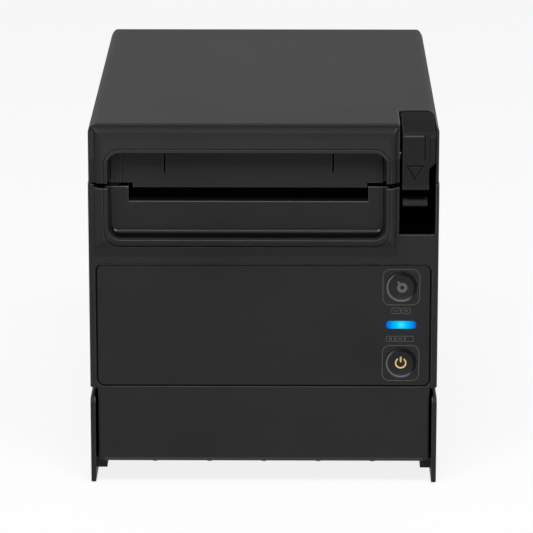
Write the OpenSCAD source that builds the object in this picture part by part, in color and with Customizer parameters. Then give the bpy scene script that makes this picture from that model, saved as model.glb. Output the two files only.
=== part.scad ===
// Front-exit receipt printer with a rear-hinged cover, a drop-in roll bunker, a line print head,
// a sprung platen lock with its release lever, a rack-driven paper cutter and a two-button panel.
// Frame: X to the right, -Y to the front, +Z up. The origin is under the middle of the printer,
// on the surface that the rubber feet stand on. Lengths are in millimetres.

/* [Overall size] */
// Width over the side walls of the case
case_w = 126; // [124:1:156]
// Depth from the raised surround to the rear wall
case_d = 178; // [176:1:220]
// Height from the table to the top of the cover
case_h = 135; // [134:1:170]

/* [Shells] */
// Wall of the case and the cover
wall = 2.4; // [2:0.1:2.8]
// Height of the cover, split line to top
cover_h = 21.5; // [21:0.5:26]
// Open seam between the cover and the case
split_gap = 2; // [1.5:0.1:2.5]
// How far the surround of the paper exit stands proud
surround_out = 2.5; // [1.5:0.1:3]
// Depth of the paper exit recess
recess_depth = 4; // [3:0.1:4.5]
// Width of the release lever's corner bay
bay_w = 14.4; // [14:0.2:18]
// Height of the underside above the table
ground_gap = 9.1; // [8:0.1:12]
// Height of the lower, set-in part of the case
skirt_h = 27.6; // [24:0.2:34]

/* [Paper] */
// Width of the paper roll
paper_w = 80; // [58:1:90]
// Diameter of a full roll
roll_d = 83; // [60:1:83]
// Height of the exit slot
slot_h = 4.6; // [4.4:0.1:6]
// Offset of the paper's centre line to the left
paper_shift = 5.4; // [0:0.1:6]

/* [Print mechanism] */
// Diameter of the platen roller
platen_d = 12.6; // [12:0.1:13]
// Steel sheet of the mechanism frame
frame_t = 1.2; // [1:0.1:1.6]
// Module of the feed gears
feed_m = 0.6; // [0.6:0.05:0.6]
// Stroke of the cutter blade
cut_stroke = 7.5; // [7:0.1:8]

/* [Panel] */
// Diameter of the two keys
key_d = 11.2; // [9:0.1:12]
// Travel of the two keys
key_travel = 0.6; // [0.3:0.1:0.8]
// Height of the flush front panel
panel_h = 45.5; // [44:0.5:48]

/* [Hidden] */
$fn = 64;

// Colours
shell_col = [0.13, 0.13, 0.135];
panel_col = [0.1, 0.1, 0.105];
inner_col = [0.2, 0.2, 0.21];
steel_col = [0.66, 0.67, 0.68];
gear_col = [0.86, 0.85, 0.8];
rubber_col = [0.06, 0.06, 0.06];
board_col = [0.05, 0.3, 0.16];

// Clearances
fit = 0.05;        // radial running clearance of a shaft in its hole
touch = 0.3;       // gap between parts that move past each other
seam = 0.3;        // gap round a flush panel or key
eps = 1;           // overshoot of a cut

// Main planes
half_w = case_w / 2;
front_y = -case_d / 2;
rear_y = case_d / 2;
face_y = front_y + surround_out;
inner_y = face_y + wall;
panel_y = front_y + recess_depth;
split_z = case_h - cover_h;
rim_z = split_z - split_gap;
side_z = ground_gap + skirt_h;
roof_z = case_h - wall;
cover_half_w = half_w - 0.3;

// Skirts of the chassis and the set-in lower case
skirt_t = 1.8;
skirt_gap = 1;
lower_half_w = half_w - skirt_t - skirt_gap;
skirt_lift = 0.3;
skirt_top = side_z - 3.7;
skirt_y0 = face_y + 0.3;
deck_z1 = ground_gap - 0.1;
deck_t = 2.1;
rail_drop = 3.5;
rail_w = 4.3;
foot_r = 7;
foot_z1 = 3.4;
foot_inset = 0.4;
front_drop = 0.45;  // the front wall reaches this far below the underside
front_round = 1.1;

// Corner radii of the shells
rear_r = 6;
lower_r = 2;
top_r = 3.5;
brow_r = 0.8;

// Release lever bay
bay_x0 = half_w - bay_w;
bay_x1 = half_w - 1.3;
bay_back = front_y + 25.3;
bay_floor = split_z - 19.4;

// Raised pad that surrounds the paper exit, half on the case and half on the cover
pad_x0 = -half_w + 2.1;
pad_x1 = bay_x0 - 0.9;
pad_z1 = case_h - 1.2;
pad_left_r = 4;
pad_right_r = 3;
pad_top_r = 4.1;
pad_y1 = inner_y + 0.2;
band_z = split_z - 0.9;

// Paper exit recess
rim_w = 7.2;
rim_r = 4.5;
recess_x0 = -half_w + rim_w;
recess_x1 = bay_x0 - 4.6;
recess_z0 = split_z - 20.9;
recess_z1 = split_z + 11.3;
surround_z0 = recess_z0 - 6.6;
groove = 1.3;
bead_in = 1.15;     // line pressed round the rim of the recess
bead_out = 1.5;
bead_depth = 0.5;
bead_low = 1.1;     // extra distance of the line under the recess
lip_wall = 1.1;     // wall left between the recess and the pad's open top
ledge_t = 0.9;      // ledge along the bottom of the lower exit plate
ledge_out = 1.3;
paper_x = -paper_shift;
slot_x0 = paper_x - paper_w / 2 - 3;
slot_x1 = paper_x + paper_w / 2 + 3;
slot_z1 = split_z - 2.2;
slot_z0 = slot_z1 - slot_h;
flange_t = 1.6;
lip_t = 1.6;

// Flush front panel with its keys and lamp
panel_t = 1.5;
panel_z1 = surround_z0 - 3;
panel_z0 = panel_z1 - panel_h;
panel_half_w = half_w - 2.7;
panel_r = 2.5;
key_x = half_w - 13.3;
feed_z = panel_z1 - 8.3;
lamp_z = panel_z1 - 22.4;
power_z = panel_z1 - 36.8;
key_flange = 1;
lamp_w = 10.8;
lamp_h = 2.7;
board_y0 = inner_y + 4.2;
board_t = 1.6;

// Print mechanism: platen over a flat head, nip just under the split line
nip_z = split_z - 3;
platen_r = platen_d / 2;
platen_y = front_y + 27;
platen_z = nip_z + platen_r;
platen_x0 = paper_x - paper_w / 2;
platen_x1 = paper_x + paper_w / 2;
shaft_r = 2.5;
bush_r = 4;
neck_r = 3.2;
frame_in0 = platen_x0 - 4.6;
frame_in1 = platen_x1 + 4.5;
frame_out0 = frame_in0 - frame_t;
frame_out1 = frame_in1 + frame_t;
frame_top = rim_z - 2.5;
horn_z = platen_z + 1.2;
notch_r = bush_r + touch;
beam_z = nip_z - 17;
head_y0 = platen_y - 8;
head_y1 = platen_y + 10;
head_x0 = platen_x0 - 1;
head_x1 = platen_x1 + 1;
head_top = nip_z - touch;
ceramic_t = 1;
sink_t = 4;
sink_bot = head_top - ceramic_t - sink_t;
head_pin_y = platen_y + 11.5;
head_pin_z = nip_z - 4;
head_pin_r = 1.2;

// Feed gears, from the platen down to the motor
press_angle = 25;
platen_n = 24;
idler_n = 20;
small_n = 14;
large_n = 44;
motor_n = 12;
motor_m = 0.5;
backlash = 0.06;
idler_dir = 261.5;
small_dir = -40;
motor_dir = -35;
idler_c = (platen_n + idler_n) * feed_m / 2;
small_c = (idler_n + small_n) * feed_m / 2;
motor_c = (large_n + motor_n) * motor_m / 2;
idler_y = platen_y + idler_c * cos(idler_dir);
idler_z = platen_z + idler_c * sin(idler_dir);
red_y = idler_y + small_c * cos(small_dir);
red_z = idler_z + small_c * sin(small_dir);
motor_y = red_y + motor_c * cos(motor_dir);
motor_z = red_z + motor_c * sin(motor_dir);
platen_phase = 0;
idler_phase = mesh_phase(platen_phase, platen_n, idler_n, idler_dir);
small_phase = mesh_phase(idler_phase, idler_n, small_n, small_dir);
large_phase = 0;
motor_phase = mesh_phase(large_phase, large_n, motor_n, motor_dir);
gear_in = frame_out0 - 1.3;
gear_w = 4;
gear_out = gear_in - gear_w - 0.9;
gear_w2 = 2.5;
axle_r = 1.5;
motor_r = 13;

// Cutter: blade in front of the platen, lifted by a pinion and rack at each end
blade_y0 = front_y + 11.7;
blade_t = 0.8;
blade_gap = 0.4;
blade_half_w = paper_w / 2 + 2.6;
blade_top = slot_z0 - 0.5;
blade_dip = 1.7;
blade_bot = blade_top - 22;
rack_m = 0.6;
rack_n = 12;
rack_pitch = PI * rack_m;
rack_root_y = blade_y0 + blade_t + 2.15;
rack_line_y = rack_root_y + 1.25 * rack_m;
rack_w = 4;
cut_shaft_y = rack_line_y + rack_n * rack_m / 2;
cut_shaft_z = nip_z - 30.5;
cut_shaft_r = 2;
cut_gear_n = 36;
cut_motor_n = 12;
cut_m = 0.5;
cut_c = (cut_gear_n + cut_motor_n) * cut_m / 2;
cut_dir = -50;
cut_motor_y = cut_shaft_y + cut_c * cos(cut_dir);
cut_motor_z = cut_shaft_z + cut_c * sin(cut_dir);
cut_gear_phase = 0;
cut_motor_phase = mesh_phase(cut_gear_phase, cut_gear_n, cut_motor_n, cut_dir);
carriage_z0 = cut_shaft_z - cut_stroke - 4;
carriage_z1 = cut_shaft_z + 12;
guide_w = 3.5;

// Platen lock and its release lever
lever_y = front_y + 35;
lever_z = split_z + 2.5;
lever_r = 2;
lock_y = platen_y + 5;
lock_z = split_z - 8.5;
lever_x0 = bay_x0 + 1;
lever_x1 = bay_x1 - 0.4;
lever_nx = lever_x0 + 9.5;
lever_front = front_y + 1;
lever_back = bay_back - 0.6;
lever_bot = split_z - 2.3;
lever_top = case_h - 0.7;
lever_skin = 1.8;
tab_x0 = lever_x0 + 0.3;
tab_x1 = lever_nx - 0.4;
tab_t = 2;
hook_t = 1.4;

// Roll bunker
roll_gap = 1;
bunker_r = roll_d / 2 + roll_gap;
bunker_t = 2;
bunker_y = rear_y - 18.5 - bunker_r;
bunker_rim = rim_z - 4.2;
bunker_z = rim_z - bunker_r - 0.5;
bunker_x0 = platen_x0 - 1.2;
bunker_x1 = platen_x1 + 1.2;
ledge_z = bunker_rim - bunker_t;

// Rear hinge
hinge_y = rear_y - 11;
hinge_z = split_z - 17.5;
hinge_r = 2;
arm_w = 5.6;
arm_x = half_w - 8.5;
lug_t = 2.5;
knuckle_r = 5;

// Boards and rear sockets
pcb_z = deck_z1 + 7;
pcb_t = 1.6;
pcb_half_w = half_w - 13;
pcb_y0 = platen_y + 30;
pcb_y1 = rear_y - 5.8;
port_z = pcb_z + pcb_t;
lower_rear_y = rear_y - skirt_t - skirt_gap - wall;
port_y1 = lower_rear_y - 0.3;

// ---------- helpers ----------
function inv(a) = tan(a) * 180 / PI - a;

// Turn of a gear that puts a gap where its mate has a tooth, along direction dir
function mesh_phase(phase1, n1, n2, dir) = dir + 180 - n1 / n2 * (phase1 - dir) - 180 / n2;

module box(x0, x1, y0, y1, z0, z1) {
  translate([x0, y0, z0]) cube([x1 - x0, y1 - y0, z1 - z0]);
}

// Extrudes a profile drawn in Y and Z from x0 to x1
module along_x(x0, x1) {
  translate([x0, 0, 0]) rotate([90, 0, 90]) linear_extrude(x1 - x0) children();
}

// Extrudes a profile drawn in X and Z from y0 to y1
module along_y(y0, y1) {
  translate([0, y1, 0]) rotate([90, 0, 0]) linear_extrude(y1 - y0) children();
}

module along_z(z0, z1) {
  translate([0, 0, z0]) linear_extrude(z1 - z0) children();
}

module rod_x(x0, x1, y, z, r) {
  along_x(x0, x1) translate([y, z]) circle(r);
}

module rod_y(y0, y1, x, z, r) {
  along_y(y0, y1) translate([x, z]) circle(r);
}

module rod_z(z0, z1, x, y, r) {
  along_z(z0, z1) translate([x, y]) circle(r);
}

// Rectangle with one radius for its low-Y corners and one for its high-Y corners
module plate(x0, x1, y0, y1, r0, r1) {
  rb = max(r0, r1);
  translate([x0 + rb, y0]) square([x1 - x0 - 2 * rb, y1 - y0]);
  translate([x0, y0 + r0]) square([x1 - x0, y1 - y0 - r0 - r1]);
  translate([x0 + r0, y0]) square([x1 - x0 - 2 * r0, y1 - y0 - r1]);
  translate([x0 + r1, y0 + r0]) square([x1 - x0 - 2 * r1, y1 - y0 - r0]);
  for (x = [x0 + r0, x1 - r0]) translate([x, y0 + r0]) circle(r0);
  for (x = [x0 + r1, x1 - r1]) translate([x, y1 - r1]) circle(r1);
}

module rplate(x0, x1, y0, y1, r) {
  plate(x0, x1, y0, y1, r, r);
}

// Outline of an involute spur gear with its first tooth at angle phase
module gear_outline(n, m, phase) {
  pitch_r = n * m / 2;
  base_r = pitch_r * cos(press_angle);
  tip_r = pitch_r + m;
  root_r = pitch_r - 1.25 * m;
  start_r = max(base_r, root_r);
  half = 90 / n + inv(press_angle) - backlash / pitch_r * 90 / PI;
  steps = 4;
  flank = [for (i = [0 : steps]) let (q = start_r + (tip_r - start_r) * i / steps)
    [q, half - inv(acos(base_r / q))]];
  rise = concat([[root_r, half]], flank);
  tooth = concat([for (p = rise) [p[0], -p[1]]],
                 [for (i = [len(rise) - 1 : -1 : 0]) rise[i]]);
  polygon([for (k = [0 : n - 1], p = tooth)
    p[0] * [cos(phase + k * 360 / n + p[1]), sin(phase + k * 360 / n + p[1])]]);
}

module gear(x0, x1, y, z, n, m, phase, bore_r) {
  difference() {
    along_x(x0, x1) translate([y, z]) gear_outline(n, m, phase);
    rod_x(x0 - eps, x1 + eps, y, z, bore_r);
  }
}

// Round compression spring along Z: a round wire swept along a helix with flat closed ends
module spring(x, y, z0, z1, r, wire_r, turns) {
  ring = 6;
  per_turn = 14;
  count = turns * per_turn;
  rise = z1 - z0 - 2 * wire_r;
  function centre(i) = let (a = 360 * i / per_turn, t = i / count)
    [x + r * cos(a), y + r * sin(a), z0 + wire_r + rise * min(1, max(0, (t - 0.08) / 0.84))];
  points = [for (i = [0 : count], k = [0 : ring - 1])
    let (a = 360 * i / per_turn, b = 360 * k / ring)
    centre(i) + wire_r * [cos(a) * cos(b), sin(a) * cos(b), sin(b)]];
  sides = [for (i = [0 : count - 1], k = [0 : ring - 1]) let (n = (k + 1) % ring)
    [i * ring + k, (i + 1) * ring + k, (i + 1) * ring + n, i * ring + n]];
  ends = [[for (k = [0 : ring - 1]) k],
          [for (k = [ring - 1 : -1 : 0]) count * ring + k]];
  polyhedron(points, concat(sides, ends));
}

// ---------- chassis, feet and fasteners ----------
foot_x = half_w - 17;
foot_ys = [front_y + 41, rear_y - 19];
col_x = half_w - 8.2;
col_r = 3.2;
col_ys = [front_y + 17, rear_y - 15];
col_top = deck_z1 + 24;
screw_r = 1.5;
screw_head_r = 2.8;
deck_y0 = front_y + 11;
deck_y1 = rear_y - 3;
post_r = 3;
post_xs = [-pcb_half_w + 4, pcb_half_w - 4];
post_ys = [pcb_y0 + 4, pcb_y1 - 24];

module skirt(side) {
  x0 = side < 0 ? -half_w : half_w - skirt_t;
  intersection() {
    along_x(x0, x0 + skirt_t)
      plate(skirt_y0, rear_y, skirt_lift, skirt_top, 1.2, 2.5);
    along_y(front_y, rear_y) rplate(x0, x0 + skirt_t, skirt_lift, skirt_top, 0.4 * skirt_t);
  }
}

module bottom_chassis() {
  color(shell_col) difference() {
    union() {
      for (side = [-1, 1]) skirt(side);
      box(-half_w + 1, half_w - 1, deck_y0, deck_y1, deck_z1 - deck_t, deck_z1);
      for (side = [-1, 1]) {
        rail_x = side < 0 ? -half_w + skirt_t - 0.3 : half_w - skirt_t - rail_w + 0.3;
        box(rail_x, rail_x + rail_w, inner_y + touch, rear_y - 1, deck_z1 - rail_drop, deck_z1);
      }
      for (x = [-foot_x, foot_x], y = foot_ys)
        rod_z(foot_z1 - foot_inset, deck_z1 - 0.5, x, y, foot_r + 2);
      for (x = post_xs, y = post_ys) rod_z(deck_z1 - 0.5, pcb_z, x, y, post_r);
      for (x = [-40 : 20 : 40])
        box(x - 0.8, x + 0.8, deck_y0 + 2, deck_y1 - 2, deck_z1 - deck_t - 1.6, deck_z1 - 1);
    }
    for (x = [-foot_x, foot_x], y = foot_ys)
      rod_z(-eps, foot_z1, x, y, foot_r + 0.1);
    for (x = [-col_x, col_x], y = col_ys) {
      rod_z(0, deck_z1 + eps, x, y, screw_r + 0.2);
      rod_z(0, deck_z1 - deck_t + 0.9, x, y, screw_head_r + 0.3);
    }
    for (x = post_xs, y = post_ys) rod_z(deck_z1 + 1, pcb_z + eps, x, y, 1.1);
  }
}

module rubber_feet() {
  color(rubber_col) for (x = [-foot_x, foot_x], y = foot_ys) {
    rod_z(1, foot_z1, x, y, foot_r);
    rod_z(0, 1, x, y, foot_r - 1);
  }
}

// Countersunk-head screws up into the columns of the case, and the four that hold the board
module case_screws() {
  color(steel_col) {
    for (x = [-col_x, col_x], y = col_ys) difference() {
      union() {
        rod_z(deck_z1 - deck_t - 0.9, deck_z1 - deck_t + 0.9, x, y, screw_head_r);
        rod_z(deck_z1 - deck_t, deck_z1 + 12, x, y, screw_r);
      }
      box(x - 2, x + 2, y - 0.4, y + 0.4, deck_z1 - deck_t - 2, deck_z1 - deck_t);
      box(x - 0.4, x + 0.4, y - 2, y + 2, deck_z1 - deck_t - 2, deck_z1 - deck_t);
    }
    for (x = post_xs, y = post_ys) {
      rod_z(port_z, port_z + 1.4, x, y, 2.2);
      rod_z(pcb_z - 4, port_z, x, y, 1.1);
    }
  }
}

// ---------- case ----------
// Side view of the pad's lower half: full depth at the recess, a quick return under its rim,
// then a gentle shoulder down to the face of the case. Each pair is a share of depth and height.
module surround_profile() {
  rise = recess_z0 - surround_z0;
  shape = [[0, 0], [0.06, 0.08], [0.16, 0.18], [0.28, 0.33], [0.36, 0.48], [0.41, 0.56],
           [0.52, 0.63], [0.68, 0.71], [0.82, 0.79], [0.92, 0.88], [0.98, 0.95], [1, 1]];
  polygon(concat(
    [for (p = shape) [face_y - surround_out * p[0], surround_z0 + rise * p[1]]],
    [[front_y, case_h], [pad_y1, case_h], [pad_y1, surround_z0]]));
}

// Plan of the pad, rounded at the left and, by a smaller radius, beside the lever bay
module pad_plan() {
  x0 = pad_x0 + pad_left_r;
  x1 = pad_x1 - pad_right_r;
  translate([x0, front_y]) square([x1 - x0, pad_y1 - front_y]);
  translate([pad_x0, front_y + pad_left_r]) square([x0 - pad_x0 + 1, pad_y1 - front_y - pad_left_r]);
  translate([x1 - 1, front_y + pad_right_r])
    square([pad_x1 - x1 + 1, pad_y1 - front_y - pad_right_r]);
  translate([x0, front_y + pad_left_r]) circle(pad_left_r);
  translate([x1, front_y + pad_right_r]) circle(pad_right_r);
}

module case_body() {
  along_z(side_z, rim_z) plate(-half_w, half_w, face_y, rear_y, lower_r, rear_r);
  along_z(ground_gap, side_z + 1)
    plate(-lower_half_w, lower_half_w, face_y, rear_y - 2.8, 1.5, 4);
  box(-lower_half_w + 1.5, lower_half_w - 1.5, face_y, inner_y,
      ground_gap - front_drop, ground_gap + 1);
  intersection() {
    along_z(surround_z0, rim_z) pad_plan();
    along_x(-half_w, half_w) surround_profile();
  }
  // the side walls rise past the pad, up to the narrower seam
  intersection() {
    along_z(rim_z - 1, band_z) plate(-half_w, half_w, face_y, rear_y, lower_r, rear_r);
    union() {
      box(-half_w - eps, pad_x0, front_y, rear_y, rim_z - 2, split_z);
      box(-pad_x0, half_w + eps, front_y, rear_y, rim_z - 2, split_z);
      box(bay_x1 - 0.5, half_w + eps, front_y, bay_back, rim_z - 2, split_z);
    }
  }
}

module case_cavity() {
  along_z(side_z + 2.2, case_h)
    plate(-half_w + wall, half_w - wall, inner_y, rear_y - wall, 1, rear_r - wall);
  along_z(0, side_z + 3)
    plate(-lower_half_w + wall, lower_half_w - wall, inner_y, rear_y - 2.8 - wall, 1, 2);
}

module recess_cut(y0, y1) {
  along_y(y0, y1) rplate(recess_x0, recess_x1, recess_z0, recess_z1, rim_r);
}

// Thin line pressed into the pad round the recess, deeper and wider where the pad falls away
module rim_line() {
  low = recess_z0 - bead_low - bead_out - 0.3;
  intersection() {
    along_y(front_y - eps, front_y + surround_out) difference() {
      rplate(recess_x0 - bead_out, recess_x1 + bead_out, low, recess_z1 + bead_out,
             rim_r + bead_out);
      rplate(recess_x0 - bead_in, recess_x1 + bead_in, recess_z0 - bead_low - bead_in,
             recess_z1 + bead_in, rim_r + bead_in);
    }
    along_x(-half_w, half_w) polygon([
      [front_y - eps, case_h], [front_y + bead_depth, case_h], [front_y + bead_depth, recess_z0],
      [front_y + 0.8 * surround_out, low], [front_y - eps, low]]);
  }
}

hinge_sweep = sqrt((rear_y - hinge_y) ^ 2 + (rim_z - hinge_z) ^ 2) - 1.9;

module main_case() {
  color(shell_col) difference() {
    union() {
      difference() {
        case_body();
        case_cavity();
      }
      // wall of the lever bay, and the shelf under the lock's spring
      box(bay_x0 - wall, bay_x0, inner_y - 1, bay_back, bay_floor - 8, rim_z);
      box(bay_x0 - wall, half_w - 1, bay_back - 8.5, bay_back, bay_floor - wall, bay_floor);
      // ledges that carry the bunker
      for (x = [-half_w + wall - 0.5, half_w - wall - 3])
        box(x, x + 3.5, bunker_y - 40, bunker_y + 38, ledge_z - 4, ledge_z);
      // screw columns
      for (side = [-1, 1], y = col_ys) {
        rod_z(deck_z1 + 0.1, col_top, side * col_x, y, col_r);
        box(side * (lower_half_w - 1.6) - 1.2, side * (lower_half_w - 1.6) + 1.2,
            y - 1, y + 1, deck_z1 + 0.1, col_top);
      }
      // front flange at the bottom
      box(-lower_half_w + 1, lower_half_w - 1, inner_y - 0.5, front_y + 10,
          ground_gap, ground_gap + wall);
      // lugs of the cover hinge
      for (side = [-1, 1]) {
        inner = side * (arm_x - arm_w / 2 - 0.2 - lug_t / 2);
        outer = side * (arm_x + arm_w / 2 + 0.2 + (half_w - wall - arm_x - arm_w / 2) / 2);
        hinge_lug(inner - lug_t / 2, inner + lug_t / 2);
        hinge_lug(outer - (half_w - wall - arm_x - arm_w / 2) / 2 + 0.2,
                  outer + (half_w - wall - arm_x - arm_w / 2) / 2);
      }
    }
    recess_cut(front_y - eps, inner_y + eps);
    rim_line();
    // the pad is hollow behind its front, open at the seam
    box(pad_x0 + 2.3, recess_x0 - lip_wall, front_y + 1.5, inner_y + eps, rim_z - 6, rim_z + eps);
    box(pad_x0 + 0.7, pad_x0 + 2.4, front_y + 3.6, inner_y + eps, rim_z - 6, rim_z + eps);
    box(recess_x1 + lip_wall, pad_x1 - 1.4, front_y + 1.7, inner_y + eps, rim_z - 6, rim_z + eps);
    // bottom front edge, rounded
    along_x(-half_w, half_w) difference() {
      translate([face_y - eps, ground_gap - front_drop - eps]) square(front_round + eps);
      translate([face_y + front_round, ground_gap - front_drop + front_round])
        circle(front_round);
    }
    box(bay_x0, bay_x1, front_y - eps, bay_back + eps, bay_floor, case_h);
    // pocket of the flush panel, with its holes
    along_y(front_y - eps, face_y + panel_t)
      rplate(-panel_half_w - seam, panel_half_w + seam, panel_z0 - seam, panel_z1 + seam,
             panel_r + seam);
    for (z = [feed_z, power_z]) rod_y(face_y, inner_y + eps, key_x, z, key_d / 2 + 1.6);
    along_y(face_y, inner_y + eps)
      rplate(key_x - lamp_w / 2 - 0.6, key_x + lamp_w / 2 + 0.6,
             lamp_z - lamp_h / 2 - 0.6, lamp_z + lamp_h / 2 + 0.6, 1.2);
    // rear window for the sockets
    box(-pcb_half_w - 0.5, pcb_half_w + 0.5, rear_y - 10, rear_y + eps, port_z - 0.2, port_z + 18);
    // slots for the hinge arms, and the hinge pins' bores
    for (side = [-1, 1])
      box(side * arm_x - arm_w / 2 - 0.6, side * arm_x + arm_w / 2 + 0.6,
          rear_y - wall - 4, rear_y + eps, hinge_z - 6, case_h);
    rod_x(-half_w + 1, half_w - 1, hinge_y, hinge_z, hinge_r);
    // rear top edge, rounded about the hinge so that the cover swings clear
    along_x(-half_w - 1, half_w + 1) difference() {
      translate([hinge_y, hinge_z]) square([30, 40]);
      translate([hinge_y, hinge_z]) circle(hinge_sweep);
    }
    for (x = [-col_x, col_x], y = col_ys) rod_z(deck_z1 - eps, deck_z1 + 12, x, y, screw_r);
  }
}

module hinge_lug(x0, x1) {
  along_x(x0, x1) difference() {
    union() {
      translate([hinge_y, hinge_z]) circle(knuckle_r);
      translate([hinge_y, hinge_z - knuckle_r])
        square([rear_y - wall - hinge_y + 0.5, 2 * knuckle_r]);
    }
  }
}

module hinge_pins() {
  inner = arm_x - arm_w / 2 - 2.8;
  outer = half_w - wall + 0.4;
  color(steel_col) {
    rod_x(inner, outer, hinge_y, hinge_z, hinge_r);
    rod_x(-outer, -inner, hinge_y, hinge_z, hinge_r);
  }
}

// ---------- front panel, keys and lamp ----------
module front_panel() {
  color(panel_col) difference() {
    along_y(face_y, face_y + panel_t)
      rplate(-panel_half_w, panel_half_w, panel_z0, panel_z1, panel_r);
    for (z = [feed_z, power_z]) rod_y(front_y, inner_y, key_x, z, key_d / 2 + 0.2);
    lamp_shape(front_y, inner_y, 0.1);
  }
}

module lamp_shape(y0, y1, grow) {
  r = lamp_h / 2 + grow - 0.01;
  along_y(y0, y1)
    rplate(key_x - lamp_w / 2 - grow, key_x + lamp_w / 2 + grow,
           lamp_z - lamp_h / 2 - grow, lamp_z + lamp_h / 2 + grow, r);
}

module status_lamp() {
  color([0.5, 0.8, 0.95]) {
    lamp_shape(face_y - 0.2, board_y0 - 1.2, 0);
  }
}

// A dished key with a flange behind the panel and a plunger to its switch
module key(z) {
  dish_r = 14;
  rim = 0.7;
  color(panel_col) difference() {
    union() {
      rod_y(face_y - 0.3, face_y + panel_t + 1, key_x, z, key_d / 2);
      rod_y(face_y + panel_t + touch / 2, face_y + panel_t + touch / 2 + key_flange,
            key_x, z, key_d / 2 + 1);
      rod_y(face_y + panel_t, board_y0 - 3.5 - key_travel - 0.1, key_x, z, 1.6);
    }
    translate([key_x, face_y - 0.3 - sqrt(dish_r ^ 2 - (key_d / 2 - rim) ^ 2), z])
      sphere(dish_r);
  }
}

module feed_key() { key(feed_z); }

module power_key() { key(power_z); }

// Small board behind the panel: a tact switch for each key and the lamp's light source
module panel_board() {
  z0 = power_z - 7;
  z1 = feed_z + 6;
  color(board_col) {
    box(key_x - 5, key_x + 7.9, board_y0, board_y0 + board_t, z0, z1);
    for (x = [key_x - 3, key_x + 3], z = [feed_z - 9.3, power_z + 9.3])
      rod_y(inner_y, board_y0, x, z, 1.3);
  }
  color([0.1, 0.1, 0.1]) for (z = [feed_z, power_z]) {
    box(key_x - 3, key_x + 3, board_y0 - 2.6, board_y0, z - 3, z + 3);
    rod_y(board_y0 - 3.3, board_y0 - 2.6, key_x, z, 1.7);
  }
  color([0.9, 0.9, 0.85])
    box(key_x - 2, key_x + 2, board_y0 - 1, board_y0, lamp_z - 1, lamp_z + 1);
}

// ---------- paper exit ----------
// Lower half: a raised plate behind the case's opening, notched for the slot, with the paper lip
module exit_panel() {
  x0 = recess_x0 + groove;
  x1 = recess_x1 - groove;
  ledge_z0 = recess_z0 + groove + 0.9;
  lip_cut = 0.6;
  color(panel_col) difference() {
    union() {
      along_y(panel_y, inner_y + 0.4)
        plate(x0, x1, recess_z0 + groove + 0.9, rim_z, 3, 0.01);
      // ledge along the bottom edge
      intersection() {
        along_y(panel_y - ledge_out, panel_y + 1)
          plate(x0, x1, recess_z0 + groove + 0.9, rim_z, 3, 0.01);
        along_x(x0, x1) polygon([
          [panel_y - ledge_out, recess_z0], [panel_y - ledge_out, ledge_z0 + ledge_t - 0.3],
          [panel_y - ledge_out + 0.3, ledge_z0 + ledge_t], [panel_y + 1, ledge_z0 + ledge_t + 0.2],
          [panel_y + 1, recess_z0]]);
      }
      box(recess_x0 - 1.4, recess_x1 + 1.2, inner_y, inner_y + flange_t,
          recess_z0 - 1.8, rim_z - 0.3);
      box(slot_x0, slot_x1, inner_y, blade_y0 - 1.6, slot_z0 - lip_t, slot_z0);
      for (x = [slot_x0 + 4 : 15.5 : slot_x1 - 3])
        along_x(x, x + 1.2) polygon([[inner_y + 1, slot_z0 - 1], [blade_y0 - 2, slot_z0 - 1],
                                     [inner_y + 1, slot_z0 - 9]]);
    }
    box(slot_x0, slot_x1, front_y - eps, inner_y + 10, slot_z0, case_h);
    // bevel along the lip of the slot
    along_x(slot_x0, slot_x1) polygon([[panel_y - eps, slot_z0 - lip_cut - eps],
                                       [panel_y + lip_cut + eps, slot_z0 + eps],
                                       [panel_y - eps, slot_z0 + eps]]);
  }
}

// Upper half: fixed side strips and the back frame behind the cover's opening
module exit_frame() {
  x0 = recess_x0 + groove;
  x1 = recess_x1 - groove;
  color(panel_col) difference() {
    union() {
      along_y(panel_y, inner_y + 0.4)
        plate(x0, x1, split_z - 0.5, recess_z1 - 0.3, 0.01, 3.5);
      box(recess_x0 - 1.4, recess_x1 + 1.2, inner_y, inner_y + flange_t,
          split_z - 0.1, recess_z1 + 2);
    }
    box(slot_x0 - 2.2, recess_x1 - 1.1, front_y - eps, inner_y + 0.2, split_z - 3, case_h);
    box(slot_x0 + 2, slot_x1 - 2, front_y - eps, inner_y + 10, split_z - 3, recess_z1 - 3);
  }
}

// Removable centre plate of the exit, over the fixed blade
module cutter_cover() {
  x0 = slot_x0 - 1.9;
  x1 = recess_x1 - 1.4;
  mark_r = 0.4;
  color(panel_col) difference() {
    union() {
      intersection() {
        along_y(panel_y, inner_y)
          plate(recess_x0 + groove, recess_x1 - groove, split_z - 0.5, recess_z1 - 0.3, 0.01, 3.5);
        box(x0, x1, front_y, inner_y + eps, split_z - eps, case_h);
      }
      box(slot_x0 + 2.3, slot_x1 - 2.3, inner_y - 0.1, inner_y + flange_t,
          split_z, recess_z1 - 3.3);
      box(slot_x0 + 1.6, slot_x1 - 0.6, panel_y, inner_y, slot_z1, split_z);
      box(slot_x0 + 2.3, slot_x1 - 2.3, inner_y - 0.1, blade_y0 - blade_gap - blade_t - 0.4,
          slot_z1, slot_z1 + lip_t);
    }
    for (x = [paper_x - 30, paper_x + 30.3])
      along_y(panel_y - eps, panel_y + 0.35)
        rplate(x - mark_r, x + mark_r, recess_z1 - 8, case_h, mark_r);
  }
}

// ---------- roll bunker and paper path ----------
module bunker_profile(r) {
  translate([bunker_y, bunker_z]) circle(r);
  translate([bunker_y - r, bunker_z]) square([2 * r, case_h]);
}

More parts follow.
